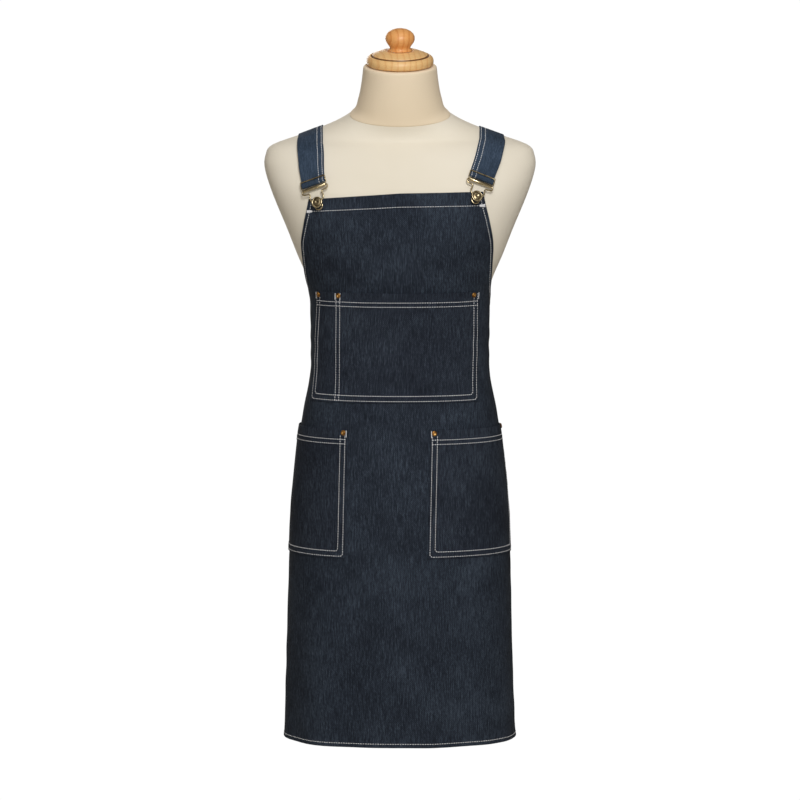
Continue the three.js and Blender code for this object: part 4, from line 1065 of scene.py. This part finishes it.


# Face and reverse are painted paler than the body's denim, as painted light for the strap's upward faces,
# not a paler cloth.
STRAP_REVERSE_PAINTED_LIGHTER = ("#4A5666", "#667284", "#8F98A4")
strap_denim = denim("strap_denim", "#27323F", "#334153", "#465569", STRAP_REVERSE_PAINTED_LIGHTER, 6.4)
for side, inner_edge in (("left", 1), ("right", -1)):
    frames = ribbon_frames(*strap_knots(side), 420)
    rows_at = [inner_edge * (STRAP_HALF_MM - 2.4), inner_edge * (STRAP_HALF_MM - 8.6)]
    route, across, out, run = frames
    # The cloth is squeezed a little to pass the slider and is full width on the shoulder.
    fuller = 1 + 0.045 * smooth(route[:, 2], 556, 590)
    strap = ribbon(f"shoulder_strap_{side}", frames, band_profile(STRAP_HALF_MM, STRAP_THICK_MM, rows_at),
                   strap_denim, "strap_denim", uv_offset=80 if side == "left" else -60, widen=fuller)
    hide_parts(f"strap_{side}")
    stitched = [stitch_row(route + across * (row * fuller)[:, None] + out * (STRAP_THICK_MM / 2 - 0.25),
                           out, high=0.36) for row in rows_at]
    stitches = make(f"shoulder_strap_{side}_topstitch", *gather(stitched), [white_thread], None, None)
    # The strap lies still on top of the shoulder. It and its stitches are baked in place and ride on no
    # body.
    x = OVER_SHOULDER_MM[side][3][0] / 1000
    for cloth in (strap, stitches):
        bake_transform(cloth)

# ------------------------------------------------------------------ buckle sliders
# A slider is stamped from 1.6 mm brass with two slots, its lower edge rolled round into a tube
# for the hook. It is plated antique brass, and use has rubbed its edges and bars bright.
SLIDER_OUTLINE_MM = [(-18.2, 24), (18.2, 24), (18.3, 25.3), (19.6, 26.6), (20.2, 28), (20.3, 36.8),
                     (19.9, 38.1), (18.6, 38.8), (-18.6, 38.8), (-19.9, 38.1), (-20.3, 36.8), (-20.2, 28),
                     (-19.6, 26.6), (-18.3, 25.3)]
SLIDER_SLOTS_MM = [
    [(-17.4, 26.4), (-18.5, 27.2), (-18.9, 28.4), (-18.9, 30.6), (-18.4, 31.2), (18.4, 31.2), (18.9, 30.6),
     (18.9, 28.4), (18.5, 27.2), (17.4, 26.4)],
    [(-18.9, 33.5), (-18.9, 36.5), (-18.4, 37), (18.4, 37), (18.9, 36.5), (18.9, 33.5), (18.4, 33),
     (-18.4, 33)],
]
TUBE_MM = [(1.5, -18.2), (2.0, -18.2), (2.2, -18.0), (2.2, 18.0), (2.0, 18.2), (1.5, 18.2)]
PLANE_MM = 6.0  # height of the slider and the hook above the cloth's touch
brass = antique_plate("antique_brass_plate", "#C9B995", "#6E6148", "#241F18", 0.24)


def stamped(outline, slots, thick, bevel):
    """Points and faces of a stamped plate with rounded edges, in its own plane."""
    curve = bpy.data.curves.new("stamping", "CURVE")
    curve.dimensions, curve.fill_mode = "2D", "BOTH"
    curve.extrude, curve.bevel_depth, curve.bevel_resolution = thick / 2 - bevel, bevel, 3
    curve.offset = -bevel
    for points in [outline] + slots:
        spline = curve.splines.new("POLY")
        spline.points.add(len(points) - 1)
        for point, (x, y) in zip(spline.points, points):
            point.co = (x, y, 0, 1)
        spline.use_cyclic_u = True
    holder = bpy.data.objects.new("stamping", curve)
    bpy.context.collection.objects.link(holder)
    mesh = bpy.data.meshes.new_from_object(holder.evaluated_get(bpy.context.evaluated_depsgraph_get()))
    points = np.array([v.co for v in mesh.vertices])
    faces = [list(p.vertices) for p in mesh.polygons]
    bpy.data.objects.remove(holder)
    bpy.data.curves.remove(curve)
    bpy.data.meshes.remove(mesh)
    return points, faces


def placed(points, matrix):
    return points @ np.array(matrix.to_3x3()).T + np.array(matrix.translation)


def join_parts(parts):
    points, faces, count = [], [], 0
    for part_points, part_faces in parts:
        points.append(part_points)
        faces += [[i + count for i in face] for face in part_faces]
        count += len(part_points)
    return np.concatenate(points), faces


plate_points, plate_faces = stamped(SLIDER_OUTLINE_MM, SLIDER_SLOTS_MM, 1.6, 0.45)
plate_points = plate_points + np.array([0, 0, PLANE_MM])
along_tube = Matrix.Translation((0, 24, PLANE_MM)) @ Matrix.Rotation(math.pi / 2, 4, "Y")
for side, matrix in BUCKLES.items():
    plate = placed(plate_points, matrix), plate_faces
    tube = lathe(TUBE_MM, 28, matrix @ along_tube)
    slider = make(f"buckle_slider_{side}", *join_parts([plate, tube]), [brass], f"buckle_{side}",
                  "antique_brass")
    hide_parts(f"slider_{side}")

# ------------------------------------------------------------------ wire hooks
# Each hook is bent from one length of 2.2 mm brass wire. Its ends turn in to the slider's tube,
# and its narrow loop drops over the button's neck and rides up behind the cap.
HALF_WIRE_MM = [(0.4, 24), (9, 24), (17.6, 24), (19.4, 23.6), (20.2, 22), (19.5, 19.2), (17.4, 17.6),
                (13.4, 17.2), (10.4, 16.6), (9.6, 14.4), (10.5, 10), (9.4, 5.4), (6, 2.4), (4.7, 0),
                (5.4, -3), (5.6, -5.4), (3.6, -8.8)]
WIRE_MM = 1.1
for side, matrix in BUCKLES.items():
    flat = [(u, w, PLANE_MM) for u, w in HALF_WIRE_MM] + [(0, -10.2, PLANE_MM)]
    flat += [(-u, w, PLANE_MM) for u, w in reversed(HALF_WIRE_MM)]
    route = through(flat, 240)
    along = unit(np.gradient(route, axis=0))
    out = np.broadcast_to([0.0, 0.0, 1.0], along.shape)
    across = np.cross(out, along)
    ring = np.linspace(0, 2 * np.pi, 12, endpoint=False)
    rings = (route[:, None] + WIRE_MM * (across[:, None] * np.cos(ring)[None, :, None]
                                         + out[:, None] * np.sin(ring)[None, :, None]))
    faces = grid_quads(12, len(route) - 1, closed=True).tolist()
    faces += [list(range(12))[::-1], list(range(rings.size // 3 - 12, rings.size // 3))]
    hook = make(f"wire_hook_{side}", placed(rings.reshape(-1, 3), matrix), faces, [brass],
                f"hook_{side}", "antique_brass")
    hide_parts(f"hook_{side}")

# ------------------------------------------------------------------ swivel buttons
# A 17 mm jeans button: a pressed cap with a rolled rim round a beaded, dimpled face, turning on
# a tack that is driven through the bib's hem from behind.
BUTTON_MM = [(1.5, 0.2), (3.2, 0.2), (2.7, 1.2), (2.6, 8.8), (3.0, 9.1), (7.6, 9.1), (8.2, 9.4),
             (8.5, 10), (8.5, 10.9), (8.2, 11.7), (7.6, 12.15), (6.9, 12.1), (6.35, 11.6), (6.0, 11.2),
             (5.5, 11.35), (4.6, 11.75), (3.2, 12.05), (2.2, 12.0), (1.5, 11.7), (0.8, 11.45), (0, 11.4)]
BUTTON_CLOTH_MM = {"left": (-124.0, 517.0), "right": (121.0, 525.0)}  # across the bib and up it
BEADS, BEAD_CIRCLE_MM = 20, 6.05
for side, matrix in BUCKLES.items():
    origin, _, up, forward = buckle_axes(side)
    # The button's seat is where its post comes out of the bib's cloth.
    near, normal = on_apron(*(np.array([v]) for v in BUTTON_CLOTH_MM[side]), np.array([1.4]))
    seat = float(((near[0] - origin) * normal[0]).sum() / (forward * normal[0]).sum())
    profile = [(r, max(h, seat + 0.2) if h < 2 else h) for r, h in BUTTON_MM]
    profile[2] = (2.7, profile[1][1] + 1.0)
    parts = [lathe(profile, 48, matrix)]
    # Twenty small beads are struck round the face.
    for bead in range(BEADS):
        angle = 2 * math.pi * bead / BEADS
        spot = Matrix.Translation((BEAD_CIRCLE_MM * math.cos(angle), BEAD_CIRCLE_MM * math.sin(angle),
                                   11.2))
        parts.append(lathe([(0.42, -0.3), (0.42, 0.0), (0.3, 0.27), (0, 0.4)], 8, matrix @ spot))
    button = make(f"swivel_button_{side}", *join_parts(parts), [brass], f"button_{side}", "antique_brass")
    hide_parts(f"button_{side}")
    finish_node(f"button_tack_{side}", steel)

# ------------------------------------------------------------------ waist ties and bow
# Two ties of the body denim, folded to 24 mm and stitched down one edge, run from the waist
# corners round the back. They meet in a bow over the opening: a knot, two loops and two ends.
TIE_HALF_MM, TIE_THICK_MM, TIE_Z_MM = 12, 1.5, 280
KNOT_MM = dict(x=10, y=93.5, half=8.5, deep=7.5, high=13.5)
LOOP_MM = [(1.4, 2.5), (20, 3.5), (48, 4), (72, 5.5), (82, 9), (72, 13.5), (48, 14), (20, 11.5),
           (3, 6.6)]
LOOP_DROOP = 0.2
TAILS_MM = {
    "left": [(-3, 264), (-5, 235), (-9, 190), (-13, 140), (-18, 90), (-22, 45)],
    "right": [(23.5, 264), (27, 235), (32, 190), (38, 140), (43, 90), (47, 20)],
}
tie_denim = denim("tie_denim", "#121925", "#222C3B", "#3F4B5D", BODY_REVERSE, 9.8)
tie_profile = band_profile(TIE_HALF_MM, TIE_THICK_MM, [-TIE_HALF_MM + 2.2])


def tie_piece(name, node, knots, normals, steps, uv_offset, widen=None):
    frames = ribbon_frames(knots, normals, steps)
    piece = ribbon(name, frames, tie_profile, tie_denim, "tie_tape", uv_offset, widen)
    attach(piece, "root")
    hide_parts(node)
    route, across, out, run = frames
    share = np.ones(len(route)) if widen is None else widen
    row = across * ((-TIE_HALF_MM + 2.2) * share)[:, None]
    stitches = make(name + "_topstitch",
                    *gather([stitch_row(route + row + out * (TIE_THICK_MM / 2 - 0.22), out, high=0.34),
                             stitch_row(route + row - out * (TIE_THICK_MM / 2 - 0.1), -out, high=0.34)]),
                    [white_thread], "root", None)
    return piece


for side, away in (("left", -1), ("right", 1)):
    def beside_knot(x, y, z):
        return np.array([KNOT_MM["x"] + away * (KNOT_MM["half"] + x), KNOT_MM["y"] + y, z])

    # The tie starts under the side hem, where a bar tack holds it (the tack is not built here), and is
    # drawn straight to the knot.
    ends = on_apron(away * np.array([HALF_APRON_MM - 34, HALF_APRON_MM - 12]),
                    np.array([TIE_Z_MM, TIE_Z_MM]), np.array([1.9, 2.1]))
    knots = list(ends[0]) + [beside_knot(9, -4, TIE_Z_MM), beside_knot(0.3, -3.4, TIE_Z_MM)]
    normals = list(ends[1]) + [np.array([0, 1, 0])] * 2
    pinch = np.interp(np.linspace(0, 1, 91), [0, 0.72, 1], [1, 1, 0.62])
    tie_piece(f"tie_{side}", f"waist_tie_{side}", knots, normals, 90, 30 * away, pinch)

    loop_points, loop_normals = [], []
    flat = np.array(LOOP_MM)
    slope = np.gradient(flat, axis=0)
    slope /= np.linalg.norm(slope, axis=1, keepdims=True)
    for (x, y), (dx, dy) in zip(flat, slope):
        loop_points.append(beside_knot(x, y, TIE_Z_MM - LOOP_DROOP * x))
        loop_normals.append(np.array([-away * dy, dx, 0.0]))
    along_loop = np.linspace(0, 1, 141)
    pinch = np.interp(along_loop, [0, 0.16, 0.5, 0.84, 1], [0.66, 0.98, 1.0, 0.98, 0.66])
    tie_piece(f"bow_loop_{side}_cloth", f"bow_loop_{side}", loop_points, loop_normals, 140,
              90 * away, pinch)

    tail_knots = [on_form(x, z, True, 12 if i == 0 else 4.5 + 1.3 * math.sin(i * 1.9 + away))
                  for i, (x, z) in enumerate(TAILS_MM[side])]
    pinch = np.interp(np.linspace(0, 1, 121), [0, 0.12, 1], [0.66, 1, 1])
    tie_piece(f"tie_tail_{side}_cloth", f"tie_tail_{side}", [p for p, _ in tail_knots],
              [n for _, n in tail_knots], 120, 150 * away, pinch)

# The knot is the tie wrapped once round itself, creased where it pulls tight.
knot_z = np.array([-1.0, -0.96, -0.85, -0.65, -0.4, -0.15, 0.15, 0.4, 0.65, 0.85, 0.96, 1.0])
knot_size = np.array([0.45, 0.62, 0.78, 0.92, 1.0, 1.03, 1.03, 1.0, 0.93, 0.8, 0.64, 0.45])
ring = np.linspace(0, 2 * np.pi, 64, endpoint=False)
crease = (1 + 0.05 * np.sin(knot_z[:, None] * 8 + ring[None] * 1.0)
          + 0.03 * np.sin(knot_z[:, None] * 15 - ring * 2))
knot_rings = np.stack([
    KNOT_MM["x"] + KNOT_MM["half"] * knot_size[:, None] * crease * np.cos(ring),
    KNOT_MM["y"] + KNOT_MM["deep"] * knot_size[:, None] * crease * np.sin(ring),
    np.broadcast_to(TIE_Z_MM + KNOT_MM["high"] * knot_z[:, None] + 1.2 * np.cos(ring),
                    (len(knot_z), 64)),
], -1)
knot_faces = grid_quads(64, len(knot_z) - 1, closed=True).tolist()
knot_faces += [list(range(64))[::-1], list(range(knot_rings.size // 3 - 64, knot_rings.size // 3))]
knot_uv = np.stack(np.broadcast_arrays((ring * 8)[None], (knot_z * 14)[:, None]), -1).reshape(-1, 2)
knot = make("bow_knot_cloth", knot_rings, knot_faces, tie_denim[:1], "root", "tie_tape", uv=knot_uv)
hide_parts("bow_knot")

# ------------------------------------------------------------------ studio
# A pale round floor a metre below the form's base, a surround that is white to the camera and a dim
# warm white to the cloth, and four large soft lights. The key stands high, a little to the right.
floor_material = new_material("pale_studio_floor")
floor_shader = add(floor_material, "BsdfPrincipled",
                   {"Base Color": colour("#DCDAD5"), "Roughness": 0.8})
add(floor_material, "OutputMaterial", {}, {"Surface": (floor_shader, "BSDF")})
floor_ring = np.linspace(0, 2 * np.pi, 96, endpoint=False)
floor = make("studio_floor", np.stack([3000 * np.cos(floor_ring), 3000 * np.sin(floor_ring),
                                       np.full(96, -1000.0)], -1), [list(range(96))],
             [floor_material], None, None)

world = bpy.data.worlds.new("white_surround")
world.use_nodes = True
bpy.context.scene.world = world
nodes, links = world.node_tree.nodes, world.node_tree.links
nodes.clear()
seen, cast = nodes.new("ShaderNodeBackground"), nodes.new("ShaderNodeBackground")
seen.inputs["Strength"].default_value = 1.02
cast.inputs["Color"].default_value = colour("#F8EBD8")
cast.inputs["Strength"].default_value = 0.20
path, either = nodes.new("ShaderNodeLightPath"), nodes.new("ShaderNodeMixShader")
out = nodes.new("ShaderNodeOutputWorld")
seen.inputs["Color"].default_value = (1, 1, 1, 1)
links.new(path.outputs["Is Camera Ray"], either.inputs[0])
links.new(cast.outputs[0], either.inputs[1])
links.new(seen.outputs[0], either.inputs[2])
links.new(either.outputs[0], out.inputs["Surface"])

for name, place, size, watts in (
    ("key_softbox", (0.45, -3.0, 2.2), 1.2, 64),
    ("front_fill", (-0.3, -4.8, 0.7), 1.6, 32),
    ("top_light", (0.0, -0.9, 3.1), 1.4, 9),
    ("back_light", (-0.8, 3.6, 0.9), 2.4, 50),
):
    light = bpy.data.lights.new(name, "AREA")
    light.shape, light.size, light.energy = "DISK", size, watts
    holder = bpy.data.objects.new(name, light)
    bpy.context.collection.objects.link(holder)
    holder.location = place
    aim = Vector((0, 0, 0.25)) - holder.location
    holder.rotation_euler = aim.to_track_quat("-Z", "Y").to_euler()
